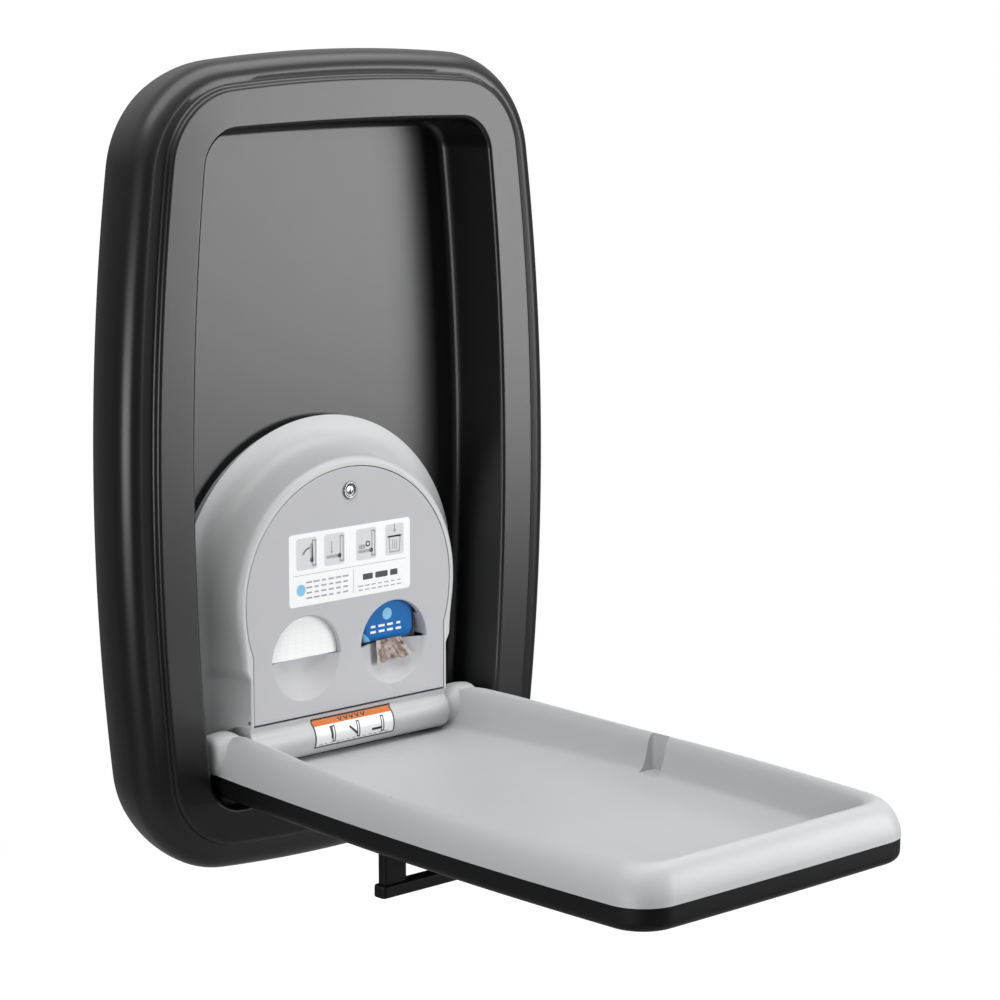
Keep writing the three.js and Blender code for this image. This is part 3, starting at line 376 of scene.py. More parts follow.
black_shell = moulded("black_shell", (0.0052, 0.0052, 0.0055), (0.0057, 0.0057, 0.006), 0.31, uneven=0.006)
black_pan = moulded("black_pan", (0.0052, 0.0052, 0.0055), (0.006, 0.006, 0.0063), 0.42, uneven=0.008, specular=0.22)
grey_shell = moulded("grey_shell", (0.545, 0.55, 0.555), (0.56, 0.565, 0.57), 0.42)
grey_door = moulded("grey_door", (0.47, 0.47, 0.495), (0.485, 0.485, 0.51), 0.5, grain=1900)
pocket_grey = moulded("pocket_grey", (0.58, 0.58, 0.595), (0.62, 0.62, 0.635), 0.5)
nylon = moulded("nylon", (0.74, 0.72, 0.66), (0.8, 0.78, 0.72), 0.5)
rubber = moulded("rubber", (0.016, 0.016, 0.017), (0.024, 0.024, 0.025), 0.8, grain=700)
black_paint = moulded("black_paint", (0.014, 0.014, 0.015), (0.02, 0.02, 0.021), 0.35, grain=2400)
steel = metal("zinc_steel", (0.53, 0.54, 0.56), 0.38, (1, 1, 14))
bright_steel = metal("ground_steel", (0.66, 0.67, 0.69), 0.26, (14, 1, 1))
chrome = metal("chrome", (0.8, 0.81, 0.83), 0.1, (1, 1, 1))
dark_chrome = metal("dark_chrome", (0.2, 0.205, 0.215), 0.22, (1, 1, 1))
label_white = ink("label_white", (0.86, 0.865, 0.87), 0.32)
ink_grey = ink("ink_grey", (0.33, 0.34, 0.36))
ink_dark = ink("ink_dark", (0.022, 0.022, 0.024))
ink_pale = ink("ink_pale", (0.62, 0.63, 0.65))
ink_amber = ink("ink_amber", (0.62, 0.155, 0.01))
ink_cyan = ink("ink_cyan", (0.2, 0.5, 0.74))
# Near-black finish for the keyway floor: painted shade of a deep keyway.
keyway_dark = ink("keyway_dark", (0.012, 0.012, 0.012), 0.6)


def embossed_paper():
    """Soft white paper with a small waffle emboss; its low points are painted a little darker, as painted shade."""
    material, tree, shader = start_material("embossed_paper")
    where = add(tree, "ShaderNodeTexCoord")
    waves = []
    for direction in ("X", "Z"):
        wave = add(tree, "ShaderNodeTexWave", Scale=2.0 / 0.0026 / (2 * math.pi) * 0.5)
        wave.bands_direction = direction
        wave.inputs["Distortion"].default_value = 0.35
        link(tree, where.outputs["Object"], wave.inputs["Vector"])
        waves.append(wave.outputs["Fac"])
    waffle = add(tree, "ShaderNodeMath", operation="MULTIPLY")
    link(tree, waves[0], waffle.inputs[0])
    link(tree, waves[1], waffle.inputs[1])
    height = waffle.outputs["Value"]
    # The emboss height also darkens the colour in its low points: painted shade.
    link(tree, two_tone(tree, height, (0.9, 0.9, 0.9), (0.94, 0.94, 0.94)), shader.inputs["Base Color"])
    fibre = bump(tree, object_noise(tree, 1300, 5, 0.7), 0.3, 0.00008)
    link(tree, bump(tree, height, 0.3, 0.0002, fibre), shader.inputs["Normal"])
    shader.inputs["Roughness"].default_value = 0.9
    shader.inputs["Sheen Weight"].default_value = 0.15
    return material


def printed_film():
    """Blue printed film: deep blue, a paler corner, and creases of the pack."""
    material, tree, shader = start_material("blue_film")
    where = add(tree, "ShaderNodeTexCoord")
    parts = add(tree, "ShaderNodeSeparateXYZ")
    link(tree, where.outputs["Object"], parts.inputs["Vector"])
    slope = add(tree, "ShaderNodeMath", operation="ADD")
    link(tree, parts.outputs["X"], slope.inputs[0])
    link(tree, parts.outputs["Z"], slope.inputs[1])
    corner = spread(tree, slope.outputs["Value"], -0.1755, -0.1745, 1, 0)
    blue = two_tone(tree, object_noise(tree, 30, 3), (0.001, 0.125, 0.4), (0.002, 0.145, 0.45))
    mix = add(tree, "ShaderNodeMix", data_type="RGBA")
    colours = [s for s in mix.inputs if s.type == "RGBA"]
    link(tree, corner, mix.inputs[0])
    link(tree, blue, colours[0])
    colours[1].default_value = (0.2, 0.52, 0.75, 1)
    link(tree, next(s for s in mix.outputs if s.type == "RGBA"), shader.inputs["Base Color"])
    link(tree, bump(tree, object_noise(tree, 55, 4, 0.6, (1, 1, 0.5)), 0.5, 0.0012), shader.inputs["Normal"])
    shader.inputs["Roughness"].default_value = 0.26
    shader.inputs["Specular IOR Level"].default_value = 0.3
    return material


def crumpled_film():
    """Thin grey brown film, crumpled; the same noise that bumps its creases also paints them darker, as painted shade.
    """
    material, tree, shader = start_material("brown_film")
    folds = object_noise(tree, 120, 3, 0.5, (1, 1, 1.3))
    # Darker where the fold noise is low, in the creases: painted shade.
    crease_shade = spread(tree, folds, 0.34, 0.58, 0, 1)
    link(tree, two_tone(tree, crease_shade, (0.13, 0.1, 0.085), (0.34, 0.265, 0.23)), shader.inputs["Base Color"])
    link(tree, bump(tree, folds, 0.7, 0.0014), shader.inputs["Normal"])
    shader.inputs["Roughness"].default_value = 0.33
    return material


paper = embossed_paper()
blue_film = printed_film()
brown_film = crumpled_film()


# Outlines

def bowed(spec, inset=0.0, side=20, corner=22, end=12):
    """Outline with bowed sides and ends; the corner circles are tangent to both bows."""
    w, h = spec["w"] - inset, spec["h"] - inset
    side_r, end_r = spec["side_r"], spec["end_r"]

    def quarter_of(sign):
        r = max((spec["r"] if sign > 0 else spec.get("r_low", spec["r"])) - inset, 3)
        sx, sz = w - side_r, sign * spec["widest"]
        ex, ez = 0.0, h - end_r
        a, b = side_r - r, end_r - r
        dx, dz = ex - sx, ez - sz
        d = math.hypot(dx, dz)
        reach = (a * a - b * b + d * d) / (2 * d)
        off = math.sqrt(a * a - reach * reach)
        cx, cz = sx + (reach * dx - off * dz) / d, sz + (reach * dz + off * dx) / d
        if cx < 0 or cz < 0:
            cx, cz = sx + (reach * dx + off * dz) / d, sz + (reach * dz - off * dx) / d
        return r, (cx, cz), (sx, sz), (ex, ez), math.atan2(cz - sz, cx - sx), math.atan2(cz - ez, cx - ex)

    right = []

    def sweep(centre, r, start, stop, steps, sign):
        for k in range(steps):
            t = start + (stop - start) * k / steps
            right.append((centre[0] + r * math.cos(t), sign * (centre[1] + r * math.sin(t))))

    r, c, s, e, side_angle, end_angle = quarter_of(-1)
    sweep(e, end_r, math.pi / 2, end_angle, end, -1)
    sweep(c, r, end_angle, side_angle, corner, -1)
    sweep(s, side_r, side_angle, 0, side, -1)
    r, c, s, e, side_angle, end_angle = quarter_of(1)
    sweep(s, side_r, 0, side_angle, side, 1)
    sweep(c, r, side_angle, end_angle, corner, 1)
    sweep(e, end_r, end_angle, math.pi / 2, end, 1)
    left = [(-x, z) for x, z in reversed(right[1:])]
    ring = np.array([*right, (0, h), *left])
    ring[:, 1] += spec["middle"]
    return ring


def bow(spec, inset, depth):
    x, z = bowed(spec, inset).T
    return on_depth(x, z, depth)


def polar_ring(radius, depth, steps=288):
    a = 2 * math.pi * (np.arange(steps) + 0.5) / steps
    r = np.array([radius(math.cos(t), math.sin(t)) for t in a])
    return on_depth(r * np.cos(a), ARCH_Z + r * np.sin(a), depth)


def soft_min(power, *values):
    return sum(v ** -power for v in values) ** (-1 / power)


def flange_at(inset, depth):
    shift = ARCH_Z - FLANGE["centre_z"]
    big = FLANGE["r"] - inset

    def radius(c, s):
        across = max(abs(c), 1e-3)
        if s > -shift / FLANGE["low_x"]:
            arch = -shift * s + math.sqrt(big * big - shift * shift * c * c)
            return soft_min(24, arch, (FLANGE["half_x"] - inset) / across)
        side = (FLANGE["low_x"] - inset + FLANGE["taper"] * shift) / (across - FLANGE["taper"] * s)
        return soft_min(24, side, (ARCH_Z - FLANGE["bottom_z"] - inset) / -s)
    return polar_ring(radius, depth)


def body_at(grow, low_grow, depth, floor_z=CHEEK_Z):
    """Outline of the dispenser: an arch, leaning sides, a kink in each side, and the lower part below it."""
    a = np.linspace(0, math.pi, 160)
    wide, low = DOME["w"] + grow, BODY_W + low_grow
    arch = np.stack([wide * np.cos(a), ARCH_Z + (DOME["rise"] + grow) * np.sin(a)], -1)
    t = np.linspace(0, 1, 96)[1:]
    z = ARCH_Z + (floor_z - ARCH_Z) * t
    lean = np.clip((z - LEAN_TOP) / (KINK_TOP - LEAN_TOP), 0, 1)
    kink = np.clip((z - KINK_TOP) / (KINK_END - KINK_TOP), 0, 1)
    x = wide + (low - wide) * (0.45 * lean ** 2 * (3 - 2 * lean) + 0.55 * kink ** 2 * (3 - 2 * kink))
    left = np.stack([-x, z], -1)
    floor = np.stack([np.linspace(-x[-1], x[-1], 42)[1:-1], np.full(40, floor_z)], -1)
    right = np.stack([x[::-1], z[::-1]], -1)
    u, v = np.concatenate([arch, left, floor, right]).T
    return on_depth(u, v, depth)


def door_outline(grow, bottom):
    """Arched door outline, as points counter-clockwise from the lower left corner."""
    low, wide, rise = DOOR_LOW_W + grow, DOOR_W + grow, DOOR_RISE + grow

    def bend(p, c, q, steps=14):
        t = np.linspace(0, 1, steps, endpoint=False)[:, None]
        p, c, q = map(np.array, (p, c, q))
        return (1 - t) ** 2 * p + 2 * t * (1 - t) * c + t ** 2 * q

    a = np.linspace(0, math.pi, 120, endpoint=False)
    return np.concatenate([
        [(-low, bottom), (low, bottom)],
        bend((low, DOOR_KINK_Z), (wide, DOOR_KINK_Z + 22), (wide, ARCH_Z)),
        np.stack([wide * np.cos(a), ARCH_Z + rise * np.sin(a)], -1),
        bend((-wide, ARCH_Z), (-wide, DOOR_KINK_Z + 22), (-low, DOOR_KINK_Z)),
        [(-low, DOOR_KINK_Z)],
    ])


# Housing

def make_housing():
    front = [(HOUSING, TUCK * (1 - k) ** 2, SHOULDER_DEPTH * k) for k in np.linspace(0, 1, 9)[:-1]]
    front += [(HOUSING, *p) for p in quarter((0, SHOULDER_DEPTH), (SHOULDER_R, RIM_DEPTH - RIM_FALL), 14, "depth")]
    front += [(BEZEL, *p) for p in quarter((-3.5, RIM_DEPTH), (0, RIM_DEPTH + 3.5), 6, "inset")]
    front += [(BEZEL, *p) for p in quarter((0.4, BEZEL_DEPTH - 4.5), (5, BEZEL_DEPTH - BEZEL_FALL), 8, "depth")]
    front += [(OPENING, *p) for p in quarter((-5, BEZEL_DEPTH), (0, BEZEL_DEPTH - 5), 8, "inset")]
    front += [(OPENING, CAVITY_DRAFT * k, BEZEL_DEPTH - 5 - 59 * k) for k in (0.25, 0.5, 0.75)]
    front += [(OPENING, *p) for p in quarter((CAVITY_DRAFT - 0.6, PANEL_FRONT + 9),
                                            (CAVITY_DRAFT + 9, PANEL_FRONT), 9, "depth")]
    back = [
        (OPENING, CAVITY_DRAFT + 3, PANEL_BACK), (OPENING, CAVITY_DRAFT - WALL, PANEL_BACK + 4),
        (OPENING, -WALL, BEZEL_DEPTH - WALL - 5), (OPENING, -WALL - 4, BEZEL_DEPTH - WALL),
        (BEZEL, WALL + 2, BEZEL_DEPTH - WALL), (BEZEL, WALL, RIM_DEPTH - WALL + 2),
        (HOUSING, SHOULDER_R + WALL - 1, RIM_DEPTH - WALL), (HOUSING, 2 * WALL + 2, RIM_DEPTH - 2 * WALL),
        (HOUSING, WALL, SHOULDER_DEPTH), (HOUSING, WALL + TUCK * 0.36, SHOULDER_DEPTH * 0.4),
        (HOUSING, WALL + TUCK, 0),
    ]
    shell = skin("housing_shell", [bow(*station) for station in back + front])
    windows = [prism("window", rounded(-x, x, z0, z1, 5), 1, PANEL_FRONT + 1, "depth")
               for x, z0, z1 in ((128, -330, -264), (25, -147, -95))]
    polish(cut(shell, *windows), 34)
    return dress(shell, black_shell, "station", ["housing"])


def half_width(spec, z):
    return spec["w"] - spec["side_r"] + math.sqrt(spec["side_r"] ** 2 - (z - spec["middle"] - spec["widest"]) ** 2)


def half_height(spec, x, end):
    return spec["h"] + end * spec["middle"] - spec["end_r"] + math.sqrt(spec["end_r"] ** 2 - x ** 2)


def make_ribs():
    """Gusset ribs between the outer wall and the cavity wall, seen from behind."""
    half, thick = WALL / 2, 4

    def profile(house, bezel, opening):
        return np.array([
            (opening - CAVITY_DRAFT + half, PANEL_FRONT + 3), (opening + half - 1, BEZEL_DEPTH - 2 * WALL),
            (opening + half + 4, BEZEL_DEPTH - half), (bezel - half - 2, BEZEL_DEPTH - half),
            (bezel - half - 1, RIM_DEPTH - half), (house - SHOULDER_R - half, RIM_DEPTH - half),
            (house - WALL - half - 1, RIM_DEPTH - WALL - half - 2), (house - half, SHOULDER_DEPTH),
            (house - half - TUCK * 0.36, SHOULDER_DEPTH * 0.4),
            (house - half - TUCK * 0.58, SHOULDER_DEPTH * 0.24),
        ])

    specs = (HOUSING, BEZEL, OPENING)
    points, faces = [], []

    def plate(rings):
        first, n = len(points), len(rings[0])
        points.extend(np.concatenate(rings))
        faces.extend((first + j, first + (j + 1) % n, first + n + (j + 1) % n, first + n + j) for j in range(n))
        faces.append(tuple(first + j for j in reversed(range(n))))
        faces.append(tuple(first + n + j for j in range(n)))

    for side in (-1, 1):
        for z in (-225, -85, 55, 195):
            u, d = profile(*(half_width(s, z) for s in specs)).T
            plate([np.stack([side * u, -d, np.full_like(u, z + k * thick / 2)], -1) for k in (-1, 1)])
        for x in (-132, -44, 44, 132):
            u, d = profile(*(half_height(s, x, side) for s in specs)).T
            plate([np.stack([np.full_like(u, x + k * thick / 2), -d, side * u], -1) for k in (-1, 1)])
    return dress(new_piece("housing_ribs", points, faces), black_shell, "station")


# Dispenser

def lower_profile(offset):
    """Side line of the lower dispenser: straight front, hollow strip, barrel."""
    front = -FACE + offset
    strip_z = DOOR_BOTTOM_Z - DOOR_BOTTOM_GAP
    r = BARREL_R - offset
    barrel = [(AXIS_Y + r * math.cos(t), AXIS_Z + r * math.sin(t))
              for t in np.radians(np.linspace(140, 270, 40))]
    t = np.linspace(0, 1, 14, endpoint=False)[:, None]
    p, c, q = np.array((front, strip_z)), np.array((front + 5.4, strip_z - 7.5)), np.array(barrel[0])
    hollow = (1 - t) ** 2 * p + 2 * t * (1 - t) * c + t ** 2 * q
    return [(front, DOOR_KINK_Z + 6), *map(tuple, hollow), *barrel]


def lower_block(name, half_x, offset, back, edge):
    rings = []
    ends = [(edge, 0.0), (edge * 0.3, edge * 0.3), (0, edge)] if edge else [(0, 0)]
    stations = [(o, -half_x + s) for o, s in ends] + [(o, half_x - s) for o, s in reversed(ends)]
    low = AXIS_Z - BARREL_R + offset - (8 if offset else 0)
    for extra, x in stations:
        line = lower_profile(offset + extra)
        tail = [(AXIS_Y, low), (back, low)] if offset else [(back, low + extra)]
        outline = np.array([(back, DOOR_KINK_Z + 6), *line, *tail])
        rings.append(np.stack([np.full(len(outline), float(x)), outline[:, 0], outline[:, 1]], -1))
    return skin(name, rings)


def make_dispenser():
    wall_x = DOOR_LOW_W + RUN
    bell = [(38, 44, 18.6), (24, 31, 20.8), (14.5, 21, 25), (8.5, 13.5, 31), (4.2, 7, 39.5), (1.5, 2.6, 50),
            (0, 0, FACE - 8)]
    brow = [(-i, -i * 0.36, d) for i, d in quarter((0, FACE - 8), (7, FACE), 9, "depth")]
    outer = skin("dispenser_shell", eased([body_at(*b) for b in bell], 6) + [body_at(*b) for b in brow[1:]])
    tails = skin("cheek_tails", eased([body_at(*b, FLANGE["bottom_z"] + 1.5) for b in bell], 6))
    cut(tails, box("between", 1 - BODY_W, BODY_W - 1, -FACE - 1, 0, -400, 100),
        about_axis("ear_room", EAR_R + 0.9, -200, 200, 96),
        box("rim_room", -200, 200, -FACE - 1, AXIS_Y, -400, AXIS_Z + EAR_R + 0.9))
    join(outer, tails)
    edge = [flange_at(*p) for p in quarter((0.8, FLANGE_DEPTH - 3), (3.8, FLANGE_DEPTH), 6, "depth")]
    join(outer, skin("flange", [flange_at(0, BODY_BACK), *edge, flange_at(20, FLANGE_DEPTH + 0.5)]))
    inner = skin("dome_inside", [
        flange_at(BODY_T, BODY_BACK - 2), flange_at(BODY_T + 0.6, FLANGE_DEPTH - BODY_T),
        flange_at(40, FLANGE_DEPTH - BODY_T + 1)])
    join(inner, skin("dome_room", [body_at(5, 2, FLANGE_DEPTH - BODY_T), body_at(0, 0, FLANGE_DEPTH + 20),
                                   body_at(-BODY_T, -BODY_T, FACE - 8), body_at(-BODY_T - 3.4, -4, FACE - BODY_T)]))
    hollow = lower_block("lower_inside", wall_x, BODY_T, 0.0, 0)
    lower = cut(lower_block("lower", BODY_W, 0, -BODY_BACK, 1.6), copy_of(hollow), copy_of(inner))
    doorway = prism("doorway", door_outline(RUN, DOOR_BOTTOM_Z - DOOR_BOTTOM_GAP), FACE - DOOR_RIM - 1, FACE + 1,
                    "depth")
    throat = box("throat", -wall_x, wall_x, -FACE + BODY_T, 0, AXIS_Z - BARREL_R - 5, DOOR_KINK_Z + 20)
    room = join(copy_of(inner), hollow)
    combine(throat, "INTERSECT", room)
    rod_room = prism("rod_room", circle(AXIS_Y, AXIS_Z, ROD_R + RUN, 48), -BODY_W - 1, BODY_W + 1, "x")
    pin_room = prism("pin_room", circle(DOOR_AXIS_Y, DOOR_AXIS_Z, 2.3, 24), -BODY_W - 1, BODY_W + 1, "x")
    shell = cut(join(cut(outer, inner), lower), doorway, throat, rod_room, pin_room)
    polish(shell, 30)
    return dress(shell, grey_shell, "station", ["dispenser_body"])


# Door

def half_bowl(name, x, r, shift, lower):
    """Half of a turned dish in the lower half, or a straight window in the upper half."""
    q = np.linspace(0, 1, 22)
    if lower:
        surface = [(r * k, FACE - SCOOP * (1 - k * k) ** 1.15 - shift) for k in q]
        lip = [(r + 2.2, FACE + 0.35), (r + 5.5, FACE + 2), (0, FACE + 2)] if shift == 0 else [(r, FACE), (0, FACE)]
        profile = surface + lip
    else:
        flare = [(r + 1.6 * (1 - math.cos(t)), FACE - 1.6 + 1.6 * math.sin(t)) for t in np.linspace(0, math.pi / 2, 7)]
        profile = [(0, FACE - DOOR_RIM - 4), (r, FACE - DOOR_RIM - 4), *flare, (r + 1.6, FACE + 2), (0, FACE + 2)]
    return turned(name, profile, (x, 0, HOLE_Z), "depth", 60, math.pi if lower else 0.0, math.pi)


def make_door():
    back = FACE - DOOR_RIM
    bottom = DOOR_BOTTOM_Z
    outline = [(0, back)] + quarter((0, FACE - 1.3), (1.3, FACE), 6, "depth")
    rings = []
    for inset, depth in outline:
        x, z = door_outline(-inset, bottom + inset).T
        rings.append(on_depth(x, z, depth))
    door = skin("door_skin", rings)
    hollow = prism("hollow", door_outline(-3.2, bottom + 3.2), back - 1, FACE - DOOR_T, "depth")
    cut(door, hollow)
    adds = [prism("lock_boss", circle(0, LOCK_Z, 13, 48), back + 2, FACE - 1, "depth")]
    for side in (-1, 1):
        x0, x1 = sorted((side * (DOOR_LOW_W - 12), side * (DOOR_LOW_W - 0.5)))
        adds.append(prism("corner", [(x0, bottom + 0.5), (x1, bottom + 0.5), (x1, bottom + 10), (x0, bottom + 10)],
                          back, FACE - 1, "depth"))
        adds.append(prism("collar", circle(side * HOLE_X, HOLE_Z, HOLE_R + 3, 96), FACE - COLLAR, FACE - 1, "depth"))
    turn = np.radians(np.linspace(2, 33, 20))
    bend = np.stack([np.cos(turn), np.sin(turn)], -1)
    guide = np.concatenate([bend * HOLE_R, bend[::-1] * (HOLE_R + 1.8)]) + (HOLE_X, HOLE_Z)
    adds.append(prism("bag_guide", guide, FACE - COLLAR - GUIDE, FACE - COLLAR + 1, "depth"))
    join(door, *adds)
    for side in (-1, 1):
        x = side * HOLE_X
        cut(door, prism("port", circle(x, HOLE_Z, HOLE_R - 0.4, 96), back - 1, FACE + 1, "depth"))
        join(door, half_bowl("bowl", x, HOLE_R + 2, SCOOP_T, True))
        cut(door, half_bowl("dish", x, HOLE_R, 0.0, True), half_bowl("window", x, HOLE_R, 0.0, False))
    bores = [prism("lock_bore", circle(0, LOCK_Z, 7.8, 48), back - 1, FACE + 1, "depth")]
    for x0, x1 in ((-DOOR_LOW_W - 1, -DOOR_LOW_W + 10), (DOOR_LOW_W - 10, DOOR_LOW_W + 1)):
        bores.append(prism("pin_bore", circle(DOOR_AXIS_Y, DOOR_AXIS_Z, 2.3, 24), x0, x1, "x"))
    polish(cut(door, *bores), 30)
    return dress(door, grey_door, "door", ["door_panel"])


def make_lock():
    face_r, body_r, plug_r = 9.5, 7.5, 4.6
    cam = FACE - DOOR_RIM - 0.6
    crown = [(face_r, FACE + GAP), (face_r, FACE + 0.8)]
    crown += [(face_r - i, FACE + 0.8 + d) for i, d in quarter((0, 0), (1.1, 1.0), 6, "depth")][1:]
    ring = turned("lock_ring", [
        (plug_r + GAP, cam + GAP), (body_r, cam + GAP), (body_r, FACE + GAP), *crown,
        (face_r - 2.2, FACE + 1.75), (plug_r + 1.5, FACE + 0.7), (plug_r + 1.1, FACE + 0.4),
        (plug_r + GAP, FACE + 0.35)], (0, 0, LOCK_Z), "depth", 96)
    dress(polish(ring, 30), dark_chrome, "door", ["lock_body"])
    plug = turned("lock_core", [
        (0, cam - 4), (plug_r - 1.6, cam - 4), (plug_r - 1.6, cam + GAP), (plug_r, cam + GAP),
        (plug_r, FACE - 0.2), (plug_r - 0.2, FACE + 0.2), (plug_r - 0.6, FACE + 0.4), (0, FACE + 0.4)],
        (0, 0, LOCK_Z), "depth", 72)
    slot = prism("slot", rounded(-1.15, 1.15, LOCK_Z - 3, LOCK_Z + 3, 0.8, 4), FACE - 4, FACE + 2, "depth")
    dress(polish(cut(plug, slot), 30), chrome, "lock", ["lock_plug"])
    # A near-black floor just under the lock face fills the keyway slot: painted shade.
    floor = prism("keyway_floor", rounded(-1.1, 1.1, LOCK_Z - 2.9, LOCK_Z + 2.9, 0.8, 4), FACE - 3.9, FACE - 0.6,
                  "depth")
    dress(floor, keyway_dark, "lock")


# Bed

def bed_outline(w, side_r, widest_y, front, tail, corner):
    middle = (front + tail) / 2
    return dict(w=w, h=(tail - front) / 2, r=14, r_low=corner, side_r=side_r, end_r=9000,
                widest=widest_y - middle, middle=middle)


SEAM = bed_outline(197.5, 4200, -435, BED_FRONT, BED_TAIL, 43)
BRINK = bed_outline(178, 2600, -344, BED_FRONT + 28, BED_TAIL + 30, 34)
PAN = bed_outline(197.5, 4200, -435, BED_FRONT, AXIS_Y + BED_HEEL, 43)


def bed_ring(spec, inset, rise):
    """Level outline of the bed; toward the ears the rim sweeps up a little, then dips into them."""
    x, y = bowed(spec, inset, side=44, corner=18, end=8).T
    ring = on_level(x, y, SEAM_Z + rise)
    k, dip = (np.clip((y - y0) / (y1 - y0), 0, 1) for y0, y1 in ((SWEEP_START, SWEEP_END), (DIP_START, DIP_END)))
    k, dip = k * k * (3 - 2 * k), dip * dip * (3 - 2 * dip)
    ring[:, 2] += max(rise, 0) / CREST * (SWEEP * k - DIP * dip)
    if spec is BRINK:
        ring[:, 0] -= np.sign(x) * SWEEP_IN * k * np.minimum(np.abs(x) / 100, 1)
    return ring


def rim_ring(share, rise):
    """Outline between the outer seam of the tray (0) and the inner brink of its rim (1)."""
    return bed_ring(SEAM, 0, rise) * (1 - share) + bed_ring(BRINK, 0, rise) * share


def about_axis(name, r, x0, x1, steps=72):
    return prism(name, circle(AXIS_Y, AXIS_Z, r, steps), x0, x1, "x")


def make_tray():
    top = [
        rim_ring(0, 0), rim_ring(0.04, 8.5), rim_ring(0.12, 17), rim_ring(0.25, 25), rim_ring(0.42, 31.4),
        rim_ring(0.6, 35), rim_ring(0.76, CREST), rim_ring(0.9, CREST - 1.2), rim_ring(1, CREST - 4),
        bed_ring(BRINK, 2, CREST - 8.5), bed_ring(BRINK, 3.4, CREST - 14), bed_ring(BRINK, 4.8, CREST - 20),
        bed_ring(BRINK, 8.5, 5),
        bed_ring(BRINK, 12.5, -1.4), bed_ring(BRINK, 24, -4), bed_ring(BRINK, 60, -4.8)]
    under = [
        bed_ring(BRINK, 60, -8.8), bed_ring(BRINK, 22, -8), bed_ring(BRINK, 10, -5), bed_ring(BRINK, 4.5, 5),
        bed_ring(BRINK, 0.8, CREST - 20), bed_ring(BRINK, -1, CREST - 13), rim_ring(0.82, CREST - 6.4),
        rim_ring(0.62, CREST - 8), rim_ring(0.48, 23.6), rim_ring(0.36, 16), rim_ring(0.27, 8), rim_ring(0.22, 0)]
    smooth_top = eased(top, 5)
    tray = skin("tray_shell", under + smooth_top)
    blank = skin("tray_blank", [bed_ring(SEAM, 0, -9)] + smooth_top)
    backing, recess = [], []
    for side in (-1, 1):
        x0, x1 = sorted((side * 140, side * 190.5))
        block = box("backing", x0, x1, RECESS_Y - RECESS_W / 2 - 4, RECESS_Y + RECESS_W / 2 + 4, SEAM_Z - 8,
                    AXIS_Z + 20)
        backing.append(combine(block, "INTERSECT", copy_of(blank)))
        x0, x1 = sorted((side * 130, side * RECESS_X))
        outline = rounded(x0, x1, RECESS_Y - RECESS_W / 2, RECESS_Y + RECESS_W / 2, 5, 8)
        recess.append(prism("recess", outline, SEAM_Z - 3.4, AXIS_Z + 30, "up"))
    bpy.data.objects.remove(blank)
    join(tray, *backing)
    cut(tray, *recess, about_axis("barrel_room", BARREL_R + 1.8, -EAR_X, EAR_X, 96),
        box("behind", -EAR_X, EAR_X, AXIS_Y, 100, SEAM_Z - 20, 0),
        box("rear", -220, 220, AXIS_Y + BED_HEEL - 3, 100, SEAM_Z - 20, 0),
        box("heel_room", -220, 220, AXIS_Y + 4, 100, SEAM_Z - 20, SEAM_Z))
    along = np.linspace(-1, 1, 61)
    across = (EAR_X + EAR_END) / 2 + (EAR_END - EAR_X) / 2 * along
    crown = EAR_R - np.where(along > 0, 3, 10.5) * along ** 2
    past = np.clip(across - EAR_END + EAR_EDGE, 0, EAR_EDGE)
    crown -= EAR_EDGE - np.sqrt(EAR_EDGE ** 2 - past ** 2)
    profile = [(0, EAR_X), *zip(crown, across), (0, EAR_END)]
    for side in (-1, 1):
        ear = turned("ear", [(r, side * s) for r, s in profile], (0, AXIS_Y, AXIS_Z), "x", 96)
        x0, x1 = sorted((side * (EAR_X - 1), side * (EAR_END + 1)))
        keep = box("keep", x0, x1, AXIS_Y - EAR_R - 1, AXIS_Y + EAR_R + 1, SEAM_Z, AXIS_Z + EAR_R + 1)
        join(tray, combine(ear, "INTERSECT", keep))
        x0, x1 = sorted((side * 165.4, side * 171.6))
        cut(tray, about_axis("arm_room", 13.5, x0, x1),
            box("arm_slot", x0, x1, AXIS_Y - 14, AXIS_Y + 14, SEAM_Z - 1, AXIS_Z))
    polish(cut(tray, about_axis("rod_room", ROD_R + RUN, -171, 171)), 34)
    return dress(tray, grey_shell, "bed", ["bed_tray"])


def make_pan():
    inside = [bed_ring(PAN, 60, -SHELL_DROP + 4), bed_ring(PAN, 13, -SHELL_DROP + 4),
              bed_ring(PAN, 8, -SHELL_DROP + 6), bed_ring(PAN, 5.4, -SHELL_DROP + 11), bed_ring(PAN, 4.6, -GAP)]
    outside = [bed_ring(PAN, 0.8, -GAP), bed_ring(PAN, 0.9, -SHELL_DROP / 2)]
    outside += [bed_ring(PAN, i, d) for i, d in quarter((1.1, -SHELL_DROP + 9), (12, -SHELL_DROP), 10, "depth")]
    pan = skin("pan_shell", inside + outside + [bed_ring(PAN, 60, -SHELL_DROP)])
    cut(pan, box("barrel_room", -EAR_X, EAR_X, AXIS_Y - 10, 0, AXIS_Z - BARREL_R - 3, AXIS_Z))
    return dress(polish(pan, 34), black_pan, "bed", ["bed_shell"])


def soft_block(name, x, y, w, d, levels):
    """Upright block with round corners; levels are (inset, height) pairs."""
    rings = []
    for inset, z in levels:
        u, v = rounded(x - w / 2 + inset, x + w / 2 - inset, y - d / 2 + inset, y + d / 2 - inset,
                       max(d * 0.3 - inset, 0.6), 7).T
        rings.append(on_level(u, v, z))
    return skin(name, rings)


